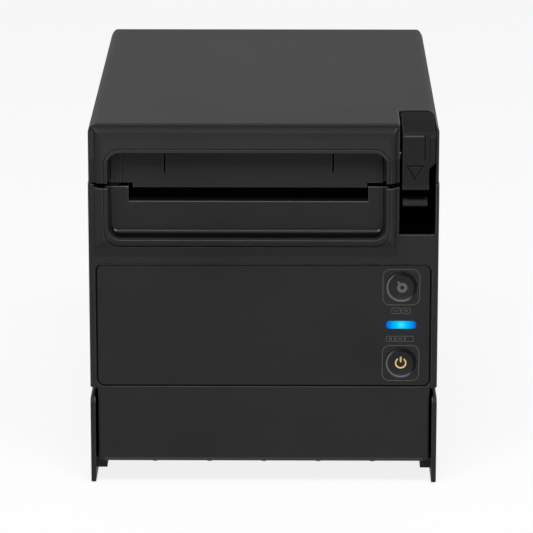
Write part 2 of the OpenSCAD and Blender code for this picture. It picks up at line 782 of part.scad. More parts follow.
module paper_bunker() {
  rim_x = half_w - wall - 0.3;
  front = bunker_y - bunker_r - 7;
  color(inner_col) difference() {
    union() {
      intersection() {
        along_x(bunker_x0 - bunker_t, bunker_x1 + bunker_t) bunker_profile(bunker_r + bunker_t);
        box(-half_w, half_w, front_y, rear_y, 0, bunker_rim);
      }
      along_z(bunker_rim - bunker_t, bunker_rim)
        rplate(-rim_x, rim_x, front, bunker_y + bunker_r + 2, 1.5);
      // ribs under the trough
      for (x = [bunker_x0 + 10, paper_x, bunker_x1 - 10])
        intersection() {
          along_x(x - 0.8, x + 0.8) bunker_profile(bunker_r + bunker_t + 1.6);
          box(-half_w, half_w, front_y, rear_y, 0, bunker_z);
        }
    }
    along_x(bunker_x0, bunker_x1) bunker_profile(bunker_r);
    // window of the near-end sensor
    rod_x(bunker_x0 - bunker_t - eps, bunker_x0 + eps, bunker_y, bunker_z - 28, 2.6);
  }
}

module paper_guide() {
  y0 = head_y1 + 4.3;
  y1 = bunker_y - bunker_r - 7.6;
  z = nip_z - 2;
  color(inner_col) difference() {
    union() {
      along_x(frame_in0, frame_in1) {
        translate([y0 + 1, z - 1]) circle(1);
        translate([y0 + 1, z - 2]) square([y1 - y0 - 1, 2]);
      }
      for (x = [platen_x0 : 16 : platen_x1 - 1])
        box(x, x + 1.2, y0 + 1, y1, z - 1, z + 0.7);
      for (x = [platen_x0 + 6, platen_x1 - 8])
        box(x, x + 2, y0 + 2, y1 - 2, z - 5, z - 1);
    }
    box(paper_x - 5, paper_x + 5, y0 + 4, y0 + 12, z - 3, z + 1);
  }
}

module paper_sensor() {
  y0 = head_y1 + 4.3;
  z = nip_z - 2;
  color([0.08, 0.08, 0.08]) difference() {
    union() {
      box(paper_x - 4.8, paper_x + 4.8, y0 + 4.2, y0 + 11.8, z - 2, z + 0.2);
      box(paper_x - 3, paper_x + 3, y0 + 5.5, y0 + 10.5, z - 5, z - 2);
    }
    for (x = [paper_x - 1.8, paper_x + 1.8]) rod_z(z - 1, z + 1, x, y0 + 8, 0.9);
  }
}

// ---------- boards and sockets ----------
module main_board() {
  color(board_col) difference() {
    box(-pcb_half_w, pcb_half_w, pcb_y0, pcb_y1, pcb_z, port_z);
    for (x = post_xs, y = post_ys) rod_z(pcb_z - eps, port_z + eps, x, y, 1.2);
  }
  color([0.08, 0.08, 0.09]) {
    box(-14, 0, 6, 20, port_z, port_z + 1.4);
    box(14, 24, 2, 10, port_z, port_z + 1.2);
    box(-34, -26, 10, 16, port_z, port_z + 1.2);
  }
  color([0.2, 0.22, 0.3]) for (x = [-36, -24, 30]) rod_z(port_z, port_z + 12, x, pcb_y0 + 9, 4);
  color([0.85, 0.85, 0.8]) for (x = [-10, 8]) box(x, x + 14, pcb_y0 + 1, pcb_y0 + 6, port_z, port_z + 5);
}

usb_x = 14;
lan_x = -9;
drawer_x = -33;
dc_x = 37;
usb_w = 12;
usb_h = 11;
lan_w = 16;
lan_h = 13.4;
drawer_w = 14;
drawer_h = 12.6;
dc_w = 14;
dc_h = 13;

// Plate that closes the rear window round the sockets
module connector_plate() {
  g = 0.2;
  color(inner_col) difference() {
    box(-pcb_half_w - 1.5, pcb_half_w + 1.5, lower_rear_y - 1.5, lower_rear_y,
        port_z + 0.4, port_z + 20);
    port_hole(usb_x, usb_w + 2 * g, usb_h + g);
    port_hole(lan_x, lan_w + 2 * g, lan_h + g);
    port_hole(drawer_x, drawer_w + 2 * g, drawer_h + g);
    port_hole(dc_x, dc_w + 2 * g, dc_h + g);
  }
}

module port_hole(x, w, h) {
  box(x - w / 2, x + w / 2, rear_y - 12, rear_y, port_z - 1, port_z + h);
}

module dc_inlet() {
  z = port_z + 6.8;
  color([0.08, 0.08, 0.08]) difference() {
    box(dc_x - dc_w / 2, dc_x + dc_w / 2, port_y1 - 14, port_y1, port_z, port_z + dc_h);
    rod_y(port_y1 - 10, port_y1 + eps, dc_x, z, 4.2);
  }
  color(steel_col) rod_y(port_y1 - 10, port_y1 - 1.5, dc_x, z, 1.1);
}

module usb_port() {
  z = port_z + 5.6;
  color(steel_col) difference() {
    box(usb_x - usb_w / 2, usb_x + usb_w / 2, port_y1 - 16, port_y1, port_z, port_z + usb_h);
    along_y(port_y1 - 9, port_y1 + eps) polygon([
      [usb_x - 4.3, z - 3.9], [usb_x + 4.3, z - 3.9], [usb_x + 4.3, z + 2.2],
      [usb_x + 2.6, z + 3.9], [usb_x - 2.6, z + 3.9], [usb_x - 4.3, z + 2.2]]);
  }
  color([0.95, 0.95, 0.95]) box(usb_x - 2.8, usb_x + 2.8, port_y1 - 9, port_y1 - 0.8, z - 1.5, z + 1.5);
}

module lan_port() {
  z = port_z + 6.2;
  color(steel_col) difference() {
    box(lan_x - lan_w / 2, lan_x + lan_w / 2, port_y1 - 21, port_y1, port_z, port_z + lan_h);
    box(lan_x - 5.9, lan_x + 5.9, port_y1 - 13, port_y1 + eps, z - 4.2, z + 2.4);
    box(lan_x - 3.2, lan_x + 3.2, port_y1 - 13, port_y1 + eps, z, z + 4.2);
    box(lan_x - 1.7, lan_x + 1.7, port_y1 - 13, port_y1 + eps, z, z + 5.6);
  }
}

module drawer_port() {
  z = port_z + 5.8;
  color([0.1, 0.1, 0.1]) difference() {
    box(drawer_x - drawer_w / 2, drawer_x + drawer_w / 2, port_y1 - 16, port_y1, port_z, port_z + drawer_h);
    box(drawer_x - 4.9, drawer_x + 4.9, port_y1 - 12, port_y1 + eps, z - 4, z + 2.4);
    box(drawer_x - 2.6, drawer_x + 2.6, port_y1 - 12, port_y1 + eps, z, z + 4.6);
  }
}

// ---------- mechanism frame ----------
frame_y0 = front_y + 8.5;
frame_y1 = bunker_y - bunker_r - 9.6;
leg_y0 = front_y + 13;
leg_y1 = platen_y + 24;
shelf_z = cut_shaft_z - 22;
seat_y0 = platen_y - 2.3;
seat_y1 = platen_y + 5.2;
spring_y = platen_y + 1.2;

module side_plate() {
  polygon([
    [leg_y0, deck_z1], [leg_y1, deck_z1], [leg_y1, shelf_z], [frame_y1, shelf_z + 14],
    [frame_y1, frame_top], [lever_y + 7, frame_top], [lever_y + 4.5, lever_z + 3.5],
    [platen_y - 7, lever_z + 3.5], [platen_y - 8, rim_z - 6], [frame_y0, rim_z - 8],
    [frame_y0, cut_shaft_z - 16], [leg_y0, shelf_z]]);
}

module mech_frame() {
  color(steel_col) difference() {
    union() {
      for (x = [frame_out0, frame_in1]) along_x(x, x + frame_t) side_plate();
      box(frame_out0 + 0.5, frame_out1 - 0.5, seat_y0, seat_y1, beam_z, beam_z + frame_t);
      box(frame_out0 + 0.5, frame_out1 - 0.5, leg_y0 + 4, leg_y1 - 4, shelf_z, shelf_z + frame_t);
      box(frame_out0 + 0.5, frame_out0 + 9, leg_y0 + 2, leg_y1 - 2, deck_z1, deck_z1 + frame_t);
      box(frame_out1 - 9, frame_out1 - 0.5, leg_y0 + 2, leg_y1 - 2, deck_z1, deck_z1 + frame_t);
    }
    // open notches for the platen bushes, flared for the arc of the cover
    along_x(frame_out0 - eps, frame_out1 + eps) {
      translate([platen_y, platen_z]) circle(notch_r);
      translate([platen_y, platen_z]) polygon([
        [-notch_r, 0], [notch_r, 0], [notch_r + 1.6, 6], [-notch_r - 0.6, 6]]);
      for (z = [deck_z1 + 9, deck_z1 + 30]) translate([0, z])
        rplate(leg_y0 + 6, leg_y1 - 6, 0, 15, 3);
    }
    rod_x(frame_out0 - eps, frame_out1 + eps, lock_y, lock_z, lever_r + fit);
    rod_x(frame_out0 - eps, frame_out1 + eps, head_pin_y, head_pin_z, head_pin_r + fit);
    rod_x(frame_out0 - eps, frame_out1 + eps, cut_shaft_y, cut_shaft_z, cut_shaft_r + fit);
    rod_x(frame_out0 - eps, frame_in0 + eps, idler_y, idler_z, axle_r);
    rod_x(frame_out0 - eps, frame_in0 + eps, red_y, red_z, axle_r);
    rod_x(frame_out0 - eps, frame_in0 + eps, motor_y, motor_z, 4.5);
    rod_x(frame_in1 - eps, frame_out1 + eps, lever_y, lever_z, lever_r);
    rod_x(frame_in1 - eps, frame_out1 + eps, cut_motor_y, cut_motor_z, 3);
  }
}

module gear_axles() {
  color(steel_col) {
    rod_x(gear_in - gear_w - 0.4, frame_in0, idler_y, idler_z, axle_r);
    rod_x(gear_out - gear_w2 - 0.3, frame_in0, red_y, red_z, axle_r);
  }
}

// ---------- paper feed ----------
module feed_motor() {
  color([0.3, 0.3, 0.32]) difference() {
    union() {
      rod_x(frame_in0, frame_in0 + 16, motor_y, motor_z, motor_r);
      rod_x(frame_out0, frame_in0, motor_y, motor_z, 4.5);
      rod_x(frame_in0 + 16, frame_in0 + 18, motor_y, motor_z, 5);
      box(frame_in0 + 3, frame_in0 + 11, motor_y - 5, motor_y + 5,
          motor_z - motor_r - 2.5, motor_z - motor_r + 3);
    }
    rod_x(frame_out0 - eps, frame_in0 + 8, motor_y, motor_z, 1 + fit);
  }
}

module motor_pinion() {
  color(gear_col) union() {
    along_x(gear_out - gear_w2, gear_out)
      translate([motor_y, motor_z]) gear_outline(motor_n, motor_m, motor_phase);
    rod_x(gear_out - 0.5, frame_in0 + 7, motor_y, motor_z, 1);
  }
}

// Large and small gear moulded as one, joined by a short hub
module reduction_gear() {
  color(gear_col) difference() {
    union() {
      along_x(gear_out - gear_w2, gear_out)
        translate([red_y, red_z]) gear_outline(large_n, motor_m, large_phase);
      rod_x(gear_out - 0.5, gear_in - gear_w + 0.5, red_y, red_z, 3);
      along_x(gear_in - gear_w, gear_in)
        translate([red_y, red_z]) gear_outline(small_n, feed_m, small_phase);
    }
    rod_x(gear_out - 10, gear_in + eps, red_y, red_z, axle_r + fit);
    for (a = [0 : 60 : 300])
      rod_x(gear_out - 10, gear_out - gear_w2 + 0.9,
            red_y + 6.7 * cos(a), red_z + 6.7 * sin(a), 2.2);
  }
}

module idler_gear() {
  color(gear_col)
    gear(gear_in - gear_w, gear_in, idler_y, idler_z, idler_n, feed_m, idler_phase, axle_r + fit);
}

module platen_gear() {
  color(gear_col)
    gear(gear_in - gear_w, gear_in, platen_y, platen_z, platen_n, feed_m, platen_phase, shaft_r);
}

module platen_shaft() {
  color(steel_col) rod_x(gear_in - gear_w - 0.4, frame_out1 + 1.2, platen_y, platen_z, shaft_r);
}

module platen_roller() {
  color([0.16, 0.16, 0.17]) difference() {
    rod_x(platen_x0, platen_x1, platen_y, platen_z, platen_r);
    rod_x(platen_x0 - eps, platen_x1 + eps, platen_y, platen_z, shaft_r);
  }
}

module platen_bushes() {
  color([0.9, 0.88, 0.8]) difference() {
    union() {
      rod_x(frame_out0 - 0.3, platen_x0 - 1.7, platen_y, platen_z, bush_r);
      rod_x(platen_x0 - 1.7, platen_x0 - 0.3, platen_y, platen_z, neck_r);
      rod_x(platen_x1 + 0.3, platen_x1 + 1.7, platen_y, platen_z, neck_r);
      rod_x(platen_x1 + 1.7, frame_out1 + 0.3, platen_y, platen_z, bush_r);
    }
    rod_x(frame_out0 - eps, frame_out1 + eps, platen_y, platen_z, shaft_r + fit);
  }
}

// Folded steel bracket: a top beam, an ear at each end and a flange for the fixed blade
module platen_bracket() {
  top_z = platen_z + platen_r + 2.9;
  y0 = blade_y0 - blade_gap;
  ear_y0 = platen_y - 4.6;
  ear_y1 = platen_y + 4.6;
  color(steel_col) difference() {
    union() {
      box(platen_x0 - 1.5, platen_x1 + 1.5, y0, ear_y1, top_z, top_z + frame_t);
      box(platen_x0 - 1.5, platen_x1 + 1.5, y0, y0 + frame_t, slot_z1 + 3.9, top_z + frame_t);
      for (x = [platen_x0 - 1.5, platen_x1 + 0.5])
        along_x(x, x + 1) {
          translate([ear_y0, platen_z]) square([ear_y1 - ear_y0, top_z - platen_z + 1]);
          translate([platen_y, platen_z]) circle(4.6);
        }
    }
    rod_x(platen_x0 - 3, platen_x1 + 3, platen_y, platen_z, neck_r);
    for (x = [paper_x - 25, paper_x + 25]) rod_z(top_z - 1, top_z + 3, x, platen_y, 1.3);
  }
}

// ---------- print head ----------
module print_head() {
  color([0.75, 0.62, 0.5]) {
    box(head_x0, head_x1, head_y0, head_y1, head_top - ceramic_t, head_top);
  }
  color([0.1, 0.1, 0.1])
    along_x(head_x0 + 2, head_x1 - 2) polygon([
      [platen_y + 4.4, head_top - 0.1], [platen_y + 5, head_top + 1],
      [head_y1 - 0.6, head_top + 1], [head_y1, head_top - 0.1]]);
}

module heatsink() {
  color([0.7, 0.71, 0.73]) union() {
    box(head_x0, head_x1, head_y0, head_y1, sink_bot, sink_bot + sink_t);
    for (y = [head_y0, head_y0 + 2.4, head_y1 - 3.4, head_y1 - 1])
      box(head_x0, head_x1, y, y + 1, sink_bot - 2.4, sink_bot + 1);
    along_x(head_x0, head_x1) {
      translate([head_pin_y, head_pin_z]) circle(2.1);
      translate([head_y1 - 1, head_pin_z - 1]) square([head_pin_y - head_y1 + 1, 2]);
    }
    rod_x(frame_out0 - 0.3, head_x0 + 1, head_pin_y, head_pin_z, head_pin_r);
    rod_x(head_x1 - 1, frame_out1 + 0.3, head_pin_y, head_pin_z, head_pin_r);
  }
}

module head_springs() {
  color(steel_col) for (x = [paper_x - 28, paper_x, paper_x + 28])
    spring(x, spring_y, beam_z + frame_t, sink_bot - 0.05, 2.6, 0.35, 5);
}

// ---------- cutter ----------
module cutter_guides() {
  y0 = blade_y0 - 1.2;
  y1 = rack_root_y - 0.4;
  z0 = carriage_z0 - 3;
  z1 = slot_z0 - lip_t - 0.3;
  color(inner_col) difference() {
    for (x = [frame_in0, frame_in1 - guide_w]) box(x, x + guide_w, y0, y1, z0, z1);
    box(paper_x - blade_half_w - 0.2, paper_x + blade_half_w + 0.2,
        blade_y0 - 0.1, blade_y0 + blade_t + 0.1, z0 - eps, z1 + eps);
    box(frame_in0 + guide_w - 1, frame_in1 - guide_w + 1,
        blade_y0 + blade_t - 0.1, y1 + eps, z0 - eps, z1 + eps);
  }
}

module moving_blade() {
  x0 = paper_x - blade_half_w;
  x1 = paper_x + blade_half_w;
  color(steel_col) along_y(blade_y0, blade_y0 + blade_t) polygon([
    [x0, blade_bot], [x1, blade_bot], [x1, blade_top], [paper_x, blade_top - blade_dip],
    [x0, blade_top]]);
}

module fixed_blade() {
  y1 = blade_y0 - blade_gap;
  color(steel_col) difference() {
    box(paper_x - blade_half_w, paper_x + blade_half_w, y1 - blade_t, y1,
        slot_z1 + 0.3, slot_z1 + 10);
    for (x = [paper_x - 32, paper_x + 32]) rod_y(y1 - 3, y1 + 3, x, slot_z1 + 7.5, 1.3);
  }
}

// Bar that carries the moving blade, with a vertical rack at each end
module blade_carriage() {
  x0 = platen_x0 - 0.3;
  x1 = platen_x1 + 0.3;
  back_y = blade_y0 + blade_t;
  pitch_half = rack_pitch / 4 - backlash / 2;
  root_half = pitch_half + 1.25 * rack_m * tan(press_angle);
  tip_half = pitch_half - rack_m * tan(press_angle);
  color(gear_col) difference() {
    union() {
      box(x0, x1, back_y, rack_root_y, carriage_z1 - 9, carriage_z1);
      for (x = [x0, x1 - rack_w]) {
        box(x, x + rack_w, back_y, rack_root_y, carriage_z0, carriage_z1);
        for (k = [-6 : 1]) let (z = cut_shaft_z + rack_pitch * (k + 0.5))
          along_x(x, x + rack_w) polygon([
            [rack_root_y - 0.2, z - root_half], [rack_root_y, z - root_half],
            [rack_line_y + rack_m, z - tip_half], [rack_line_y + rack_m, z + tip_half],
            [rack_root_y, z + root_half], [rack_root_y - 0.2, z + root_half]]);
      }
    }
    for (x = [x0 + 12 : 14 : x1 - 16])
      box(x, x + 9, back_y + 0.9, rack_root_y + eps, carriage_z1 - 7, carriage_z1 - 2);
  }
}

module cutter_shaft() {
  x0 = platen_x0 - 0.3;
  x1 = platen_x1 + 0.3;
  gx = frame_out1 + 0.4;
  color(gear_col) union() {
    rod_x(frame_out0 - 0.6, gx + 3, cut_shaft_y, cut_shaft_z, cut_shaft_r);
    for (x = [x0, x1 - rack_w]) along_x(x, x + rack_w)
      translate([cut_shaft_y, cut_shaft_z]) gear_outline(rack_n, rack_m, 180);
    along_x(gx, gx + 3)
      translate([cut_shaft_y, cut_shaft_z]) gear_outline(cut_gear_n, cut_m, cut_gear_phase);
  }
}

module cutter_motor() {
  color([0.3, 0.3, 0.32]) difference() {
    union() {
      rod_x(frame_in1 - 24, frame_in1, cut_motor_y, cut_motor_z, 7.4);
      rod_x(frame_in1 - 26, frame_in1 - 24, cut_motor_y, cut_motor_z, 3);
      rod_x(frame_in1, frame_out1, cut_motor_y, cut_motor_z, 3);
    }
    rod_x(frame_in1 - 6, frame_out1 + eps, cut_motor_y, cut_motor_z, 1 + fit);
  }
}

module cutter_pinion() {
  gx = frame_out1 + 0.4;
  color(gear_col) union() {
    along_x(gx, gx + 3)
      translate([cut_motor_y, cut_motor_z]) gear_outline(cut_motor_n, cut_m, cut_motor_phase);
    rod_x(frame_in1 - 5, gx + 0.5, cut_motor_y, cut_motor_z, 1);
  }
}

// ---------- platen lock and release lever ----------
module hook_profile() {
  polygon([
    [lock_y - 3, lock_z - 2.6], [platen_y - 9.2, platen_z - 6],
    [platen_y - 8.4, platen_z + 6.8], [platen_y - 2.2, platen_z + 6.2],
    [platen_y - 1.4, platen_z + 4.4], [platen_y - 4.6, platen_z + 3.4],
    [platen_y - 5.2, platen_z - 3], [lock_y - 1, lock_z + 3.6]]);
  polygon([
    [platen_y - 7.8, lock_z - 13], [platen_y - 5.2, lock_z - 13], [platen_y - 5.2, lock_z - 8],
    [lock_y, lock_z - 2], [lock_y - 4, lock_z + 2], [platen_y - 8.6, lock_z + 4]]);
  translate([lock_y, lock_z]) circle(4);
}

// Steel lock: a hook over each platen bush, joined by a web, with the arm that the lever presses
module lock_plate() {
  hook_x0 = frame_in0 + 0.6;
  hook_x1 = frame_in1 - 0.7;
  color(steel_col) union() {
    for (x = [hook_x0, hook_x1 - hook_t]) along_x(x, x + hook_t) hook_profile();
    box(hook_x0, hook_x1, platen_y - 7.8, platen_y - 6.6, lock_z - 13, lock_z - 4);
    rod_x(frame_out0 - 0.2, hook_x0 + hook_t, lock_y, lock_z, lever_r);
    rod_x(hook_x1 - hook_t, tab_x1, lock_y, lock_z, lever_r);
    along_x(tab_x0, tab_x1) {
      translate([lock_y, lock_z]) circle(4);
      polygon([[front_y + 3, lock_z + 0.2], [front_y + 3.7, lock_z - 0.5],
               [lock_y, lock_z - 1], [lock_y, lock_z + tab_t],
               [front_y + 3.4, lock_z + tab_t], [front_y + 3, lock_z + tab_t - 0.4]]);
    }
  }
}

module lock_spring() {
  color(steel_col) spring((tab_x0 + tab_x1) / 2, bay_back - 3.8, bay_floor, lock_z - 0.9, 2.8, 0.35, 5);
}

module lever_axle() {
  color(steel_col) rod_x(frame_in1, tab_x1 + 1.2, lever_y, lever_z, lever_r);
}

module release_lever() {
  in0 = lever_x0 + lever_skin;
  in1 = lever_nx - lever_skin;
  drop = 2.6;
  ledge = lever_top - 3.4;
  color(panel_col) difference() {
    union() {
      difference() {
        intersection() {
          along_y(lever_front - 1, lever_back + 1) polygon([
            [lever_x0, lever_bot], [lever_nx, lever_bot], [lever_nx, lever_bot + 7.6],
            [lever_x1, lever_bot + 9.8], [lever_x1, case_h], [lever_x0, case_h]]);
          along_x(lever_x0 - 1, lever_x1 + 1) polygon([
            [lever_front, lever_bot + 1.6], [lever_front, ledge - 0.7],
            [lever_front + 0.7, ledge], [lever_front + 1, lever_top - drop],
            [lever_back, lever_top], [lever_back, lever_bot + 9.6], [lever_front + 12, lever_bot],
            [lever_front - 0.45, lever_bot], [lever_front - 0.6, lever_bot + 0.4]]);
          along_z(lever_bot - 1, case_h)
            plate(lever_x0, lever_x1, front_y, lever_back, 0.6, 2.6);
        }
        along_x(in0, in1) polygon([
          [lever_front + lever_skin, lever_bot - 1],
          [lever_front + lever_skin, lever_top - drop - 3],
          [lever_back + 1, lever_top - 2.4], [lever_back + 1, lever_bot - 1]]);
      }
      along_x(in0 - 0.1, in1 + 0.1) {
        polygon([
          [lever_front + 6, lever_top - 12], [lever_front + 6, lever_top - drop - 1.8],
          [lever_back - 1, lever_top - 2.2], [lever_y - 4, lever_z + 12],
          [lever_y + 3.5, lever_z + 3.2], [lever_y + 2, lever_z - 4],
          [lever_y - 2, lever_z - 4], [lever_back - 2, lever_z + 2]]);
        translate([lever_y, lever_z]) circle(4.5);
      }
      box(lever_x0 + 0.4, lever_nx - 0.4, front_y + 8, front_y + 10,
          lock_z + tab_t + 0.35, lever_top - 8);
      box(lever_nx - 1.15, lever_nx + 0.15, lever_front, lever_front + lever_skin,
          ledge - 1, lever_top - drop);
    }
    // two grooves down the wide part
    box(lever_nx - 1.9, lever_nx - 1.15, front_y, lever_front + 0.6, lever_bot + 10.8, case_h);
    box(lever_nx + 0.15, lever_nx + 0.4, front_y, lever_front + 0.6, lever_bot + 10.8, case_h);
    rod_x(in0 - eps, in1 + eps, lever_y, lever_z, lever_r + fit);
  }
}

// ---------- cover ----------
module cover_outer() {
  intersection() {
    along_z(split_z, case_h) plate(-cover_half_w, cover_half_w, face_y, rear_y, brow_r, rear_r);
    along_y(front_y - eps, rear_y + eps)
      rplate(-cover_half_w, cover_half_w, split_z - 20, case_h, top_r);
    along_x(-half_w, half_w) plate_top(face_y, rear_y, split_z - 20, case_h, brow_r, top_r);
  }
  intersection() {
    along_z(split_z, pad_z1) pad_plan();
    along_x(-half_w, half_w) plate_top(front_y, pad_y1, split_z - 20, pad_z1, pad_top_r, 0.01);
  }
}

// Rectangle in Y and Z whose two top corners are rounded by their own radii
module plate_top(y0, y1, z0, z1, r0, r1) {
  translate([y0 + r0, z0]) square([y1 - y0 - r0 - r1, z1 - z0]);
  translate([y0, z0]) square([r0, z1 - z0 - r0]);
  translate([y1 - r1, z0]) square([r1, z1 - z0 - r1]);
  translate([y0 + r0, z1 - r0]) circle(r0);
  translate([y1 - r1, z1 - r1]) circle(r1);
}

module top_cover() {
  color(shell_col) difference() {
    union() {
      difference() {
        cover_outer();
        along_z(split_z - eps, roof_z)
          plate(-cover_half_w + wall, cover_half_w - wall, inner_y, rear_y - wall, 1.5, rear_r - wall);
      }
      // wall beside the lever bay
      box(bay_x0 - wall, bay_x0, inner_y - 1, bay_back, split_z, roof_z + 0.5);
      // bosses for the platen bracket and the liner
      for (x = [paper_x - 25, paper_x + 25])
        rod_z(platen_z + platen_r + 2.9 + frame_t, roof_z + 0.5, x, platen_y, 3.5);
      for (x = liner_xs, y = liner_ys) rod_z(liner_z + liner_t, roof_z + 0.5, x, y, 3.2);
      // stiffening ribs under the roof
      for (x = [-40 : 20 : 40])
        box(x - 0.6, x + 0.6, liner_y0 + 6, hinge_y - 12, roof_z - 1.6, roof_z + 0.5);
    }
    recess_cut(front_y - eps, inner_y + eps);
    rim_line();
    along_z(split_z - eps, case_h + eps) bay_plan();
  }
}

// Plan of the notch for the release lever, rounded at its two back corners
module bay_plan() {
  r = 3;
  translate([bay_x0, front_y - eps]) square([bay_x1 - bay_x0, bay_back - r - front_y + eps]);
  translate([bay_x0 + r, bay_back - r - eps]) square([bay_x1 - bay_x0 - 2 * r, r + eps]);
  for (x = [bay_x0 + r, bay_x1 - r]) translate([x, bay_back - r]) circle(r);
}

liner_t = 1.8;
liner_z = roof_z - 9;
liner_y0 = platen_y + 15;
liner_y1 = hinge_y + 4;
liner_half_w = cover_half_w - wall - 0.4;
liner_xs = [-half_w + 12, half_w - 12];
liner_ys = [liner_y0 + 8, hinge_y - 18];

// Inner frame of the cover: a ribbed tray over the roll, and the two hinge arms
module cover_liner() {
  color(inner_col) difference() {
    union() {
      box(-liner_half_w, liner_half_w, liner_y0, liner_y1, liner_z, liner_z + liner_t);
      difference() {
        box(-liner_half_w, liner_half_w, liner_y0, liner_y1, liner_z, roof_z);
        box(-liner_half_w + 1.6, liner_half_w - 1.6, liner_y0 + 1.6, liner_y1 - 1.6,
            liner_z - eps, roof_z + eps);
      }
      for (x = [bunker_x0 + 6 : 14 : bunker_x1 - 4])
        along_x(x, x + 1.4) difference() {
          translate([bunker_y - bunker_r + 1, liner_z - 9])
            square([2 * bunker_r - 4, 9.5]);
          translate([bunker_y, bunker_z]) circle(roll_d / 2 + 5.5);
        }
      for (side = [-1, 1])
        along_x(side * arm_x - arm_w / 2, side * arm_x + arm_w / 2) {
          translate([hinge_y, hinge_z]) circle(knuckle_r);
          translate([hinge_y - 4, hinge_z]) square([8, liner_z - hinge_z + 1]);
        }
    }
    rod_x(-half_w, half_w, hinge_y, hinge_z, hinge_r + fit);
    for (x = liner_xs, y = liner_ys) rod_z(liner_z - eps, liner_z + liner_t + eps, x, y, 1.6);
  }
}

bottom_chassis();
rubber_feet();
main_case();
case_screws();
front_panel();
exit_panel();
feed_key();
power_key();
status_lamp();
panel_board();
paper_bunker();
paper_guide();
paper_sensor();
main_board();
connector_plate();
dc_inlet();
usb_port();
lan_port();
drawer_port();
mech_frame();
gear_axles();
feed_motor();
motor_pinion();
reduction_gear();
idler_gear();
print_head();
heatsink();
head_springs();
cutter_guides();
cutter_motor();
cutter_pinion();
cutter_shaft();
blade_carriage();
moving_blade();
lock_plate();
lock_spring();
lever_axle();
release_lever();
hinge_pins();
top_cover();
cover_liner();
exit_frame();
cutter_cover();
fixed_blade();
platen_bracket();
platen_bushes();
platen_shaft();
platen_roller();
platen_gear();
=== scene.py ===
# %% [markdown]
# # A receipt printer, dressed over its engineering model
# The housing, keys, gears and blades of this printer are exact solids from a CAD model, and each one
# is already a Blender object in metres. A Blender artist could model them again by eye, but the real
# sizes would be lost. So this lesson keeps every solid where it is, and adds what a solid can't carry:
# the finish of each material, the printed marks, the lamp's glow, the light and the camera.

# %% Load the frame
import math

import bmesh
import bpy
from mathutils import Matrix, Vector


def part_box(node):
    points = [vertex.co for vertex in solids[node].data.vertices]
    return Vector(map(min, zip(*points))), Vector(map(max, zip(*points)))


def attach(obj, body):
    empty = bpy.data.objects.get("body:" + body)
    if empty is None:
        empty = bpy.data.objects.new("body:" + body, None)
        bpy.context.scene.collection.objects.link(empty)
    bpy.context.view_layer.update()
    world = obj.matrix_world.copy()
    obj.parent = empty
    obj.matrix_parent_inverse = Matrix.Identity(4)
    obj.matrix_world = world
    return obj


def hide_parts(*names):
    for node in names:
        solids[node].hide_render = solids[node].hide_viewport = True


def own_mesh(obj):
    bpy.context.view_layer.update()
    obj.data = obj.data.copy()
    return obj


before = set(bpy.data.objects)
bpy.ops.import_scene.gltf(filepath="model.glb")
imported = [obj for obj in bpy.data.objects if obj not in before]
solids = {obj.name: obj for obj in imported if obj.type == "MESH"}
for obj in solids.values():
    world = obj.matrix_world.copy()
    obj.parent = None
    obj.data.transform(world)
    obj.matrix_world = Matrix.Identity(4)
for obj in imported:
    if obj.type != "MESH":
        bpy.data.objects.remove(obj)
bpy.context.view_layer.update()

MM = 0.001

# %% [markdown]
# ## Camera
# A product shot uses a long lens from a few steps away, so that upright edges stay nearly parallel.
# The camera stands a little right of the middle and looks down by 15 degrees, which shows the cover's
# top as a low trapezium. Its angles are given here; a Track To constraint would also work, but
# plain angles are easier to repeat.


# %% Make the camera
def add_object(name, data):
    """A Blender object for some data, linked to the scene."""
    made = bpy.data.objects.new(name, data)
    bpy.context.scene.collection.objects.link(made)
    return made


LENS = 236.8
CAMERA_PLACE = (0.010, -1.3045, 0.4103)
LOOK_DOWN = 15.07
TURN = 0.42

camera_data = bpy.data.cameras.new("studio_camera")
camera_data.sensor_width = 36
camera_data.lens = LENS
camera = add_object("studio_camera", camera_data)
camera.location = CAMERA_PLACE
camera.rotation_euler = (math.radians(90 - LOOK_DOWN), 0, math.radians(TURN))
bpy.context.scene.camera = camera
print("lens", LENS, "mm, looking down", LOOK_DOWN, "degrees")

# %% [markdown]
# ## Node helpers
# Every finish below is a small node tree. Writing the trees in code keeps them short to read: one call
# makes a node and sets its values, and a value may also be the output of another node, which is then
# linked. This is the same work as dragging noodles in the Shader Editor.


# %% Helpers that make nodes
def add_node(tree, kind, settings=None, **inputs):
    """Makes a shader node. Inputs are values or other nodes' outputs; i0, i1 are sockets by number."""
    made = tree.nodes.new("ShaderNode" + kind)
    for key, value in (settings or {}).items():
        setattr(made, key, value)
    for key, value in inputs.items():
        numbered = key[0] == "i" and key[1:].isdigit()
        socket = made.inputs[int(key[1:]) if numbered else key.replace("_", " ")]
        if isinstance(value, bpy.types.NodeSocket):
            tree.links.new(value, socket)
        else:
            socket.default_value = value
    return made


def arithmetic(tree, operation, *values):
    """One Math node, by the name of its operation."""
    sockets = {f"i{number}": value for number, value in enumerate(values)}
    return add_node(tree, "Math", {"operation": operation}, **sockets).outputs[0]


def vector_maths(tree, operation, *values):
    """One Vector Math node. A length or a dot product comes out as a plain number."""
    sockets = {f"i{number}": value for number, value in enumerate(values)}
    made = add_node(tree, "VectorMath", {"operation": operation}, **sockets)
    return made.outputs["Value" if operation in ("LENGTH", "DOT_PRODUCT") else "Vector"]


def remap(tree, value, low, high, to_low=0.0, to_high=1.0, smooth=False):
    """Moves a number from one range to another, and stops at the ends of it."""
    shape = "SMOOTHSTEP" if smooth else "LINEAR"
    return add_node(tree, "MapRange", {"interpolation_type": shape}, Value=value, From_Min=low,
                    From_Max=high, To_Min=to_low, To_Max=to_high).outputs[0]


def object_place(tree):
    """The place on the solid, in metres."""
    return add_node(tree, "TexCoord").outputs["Object"]


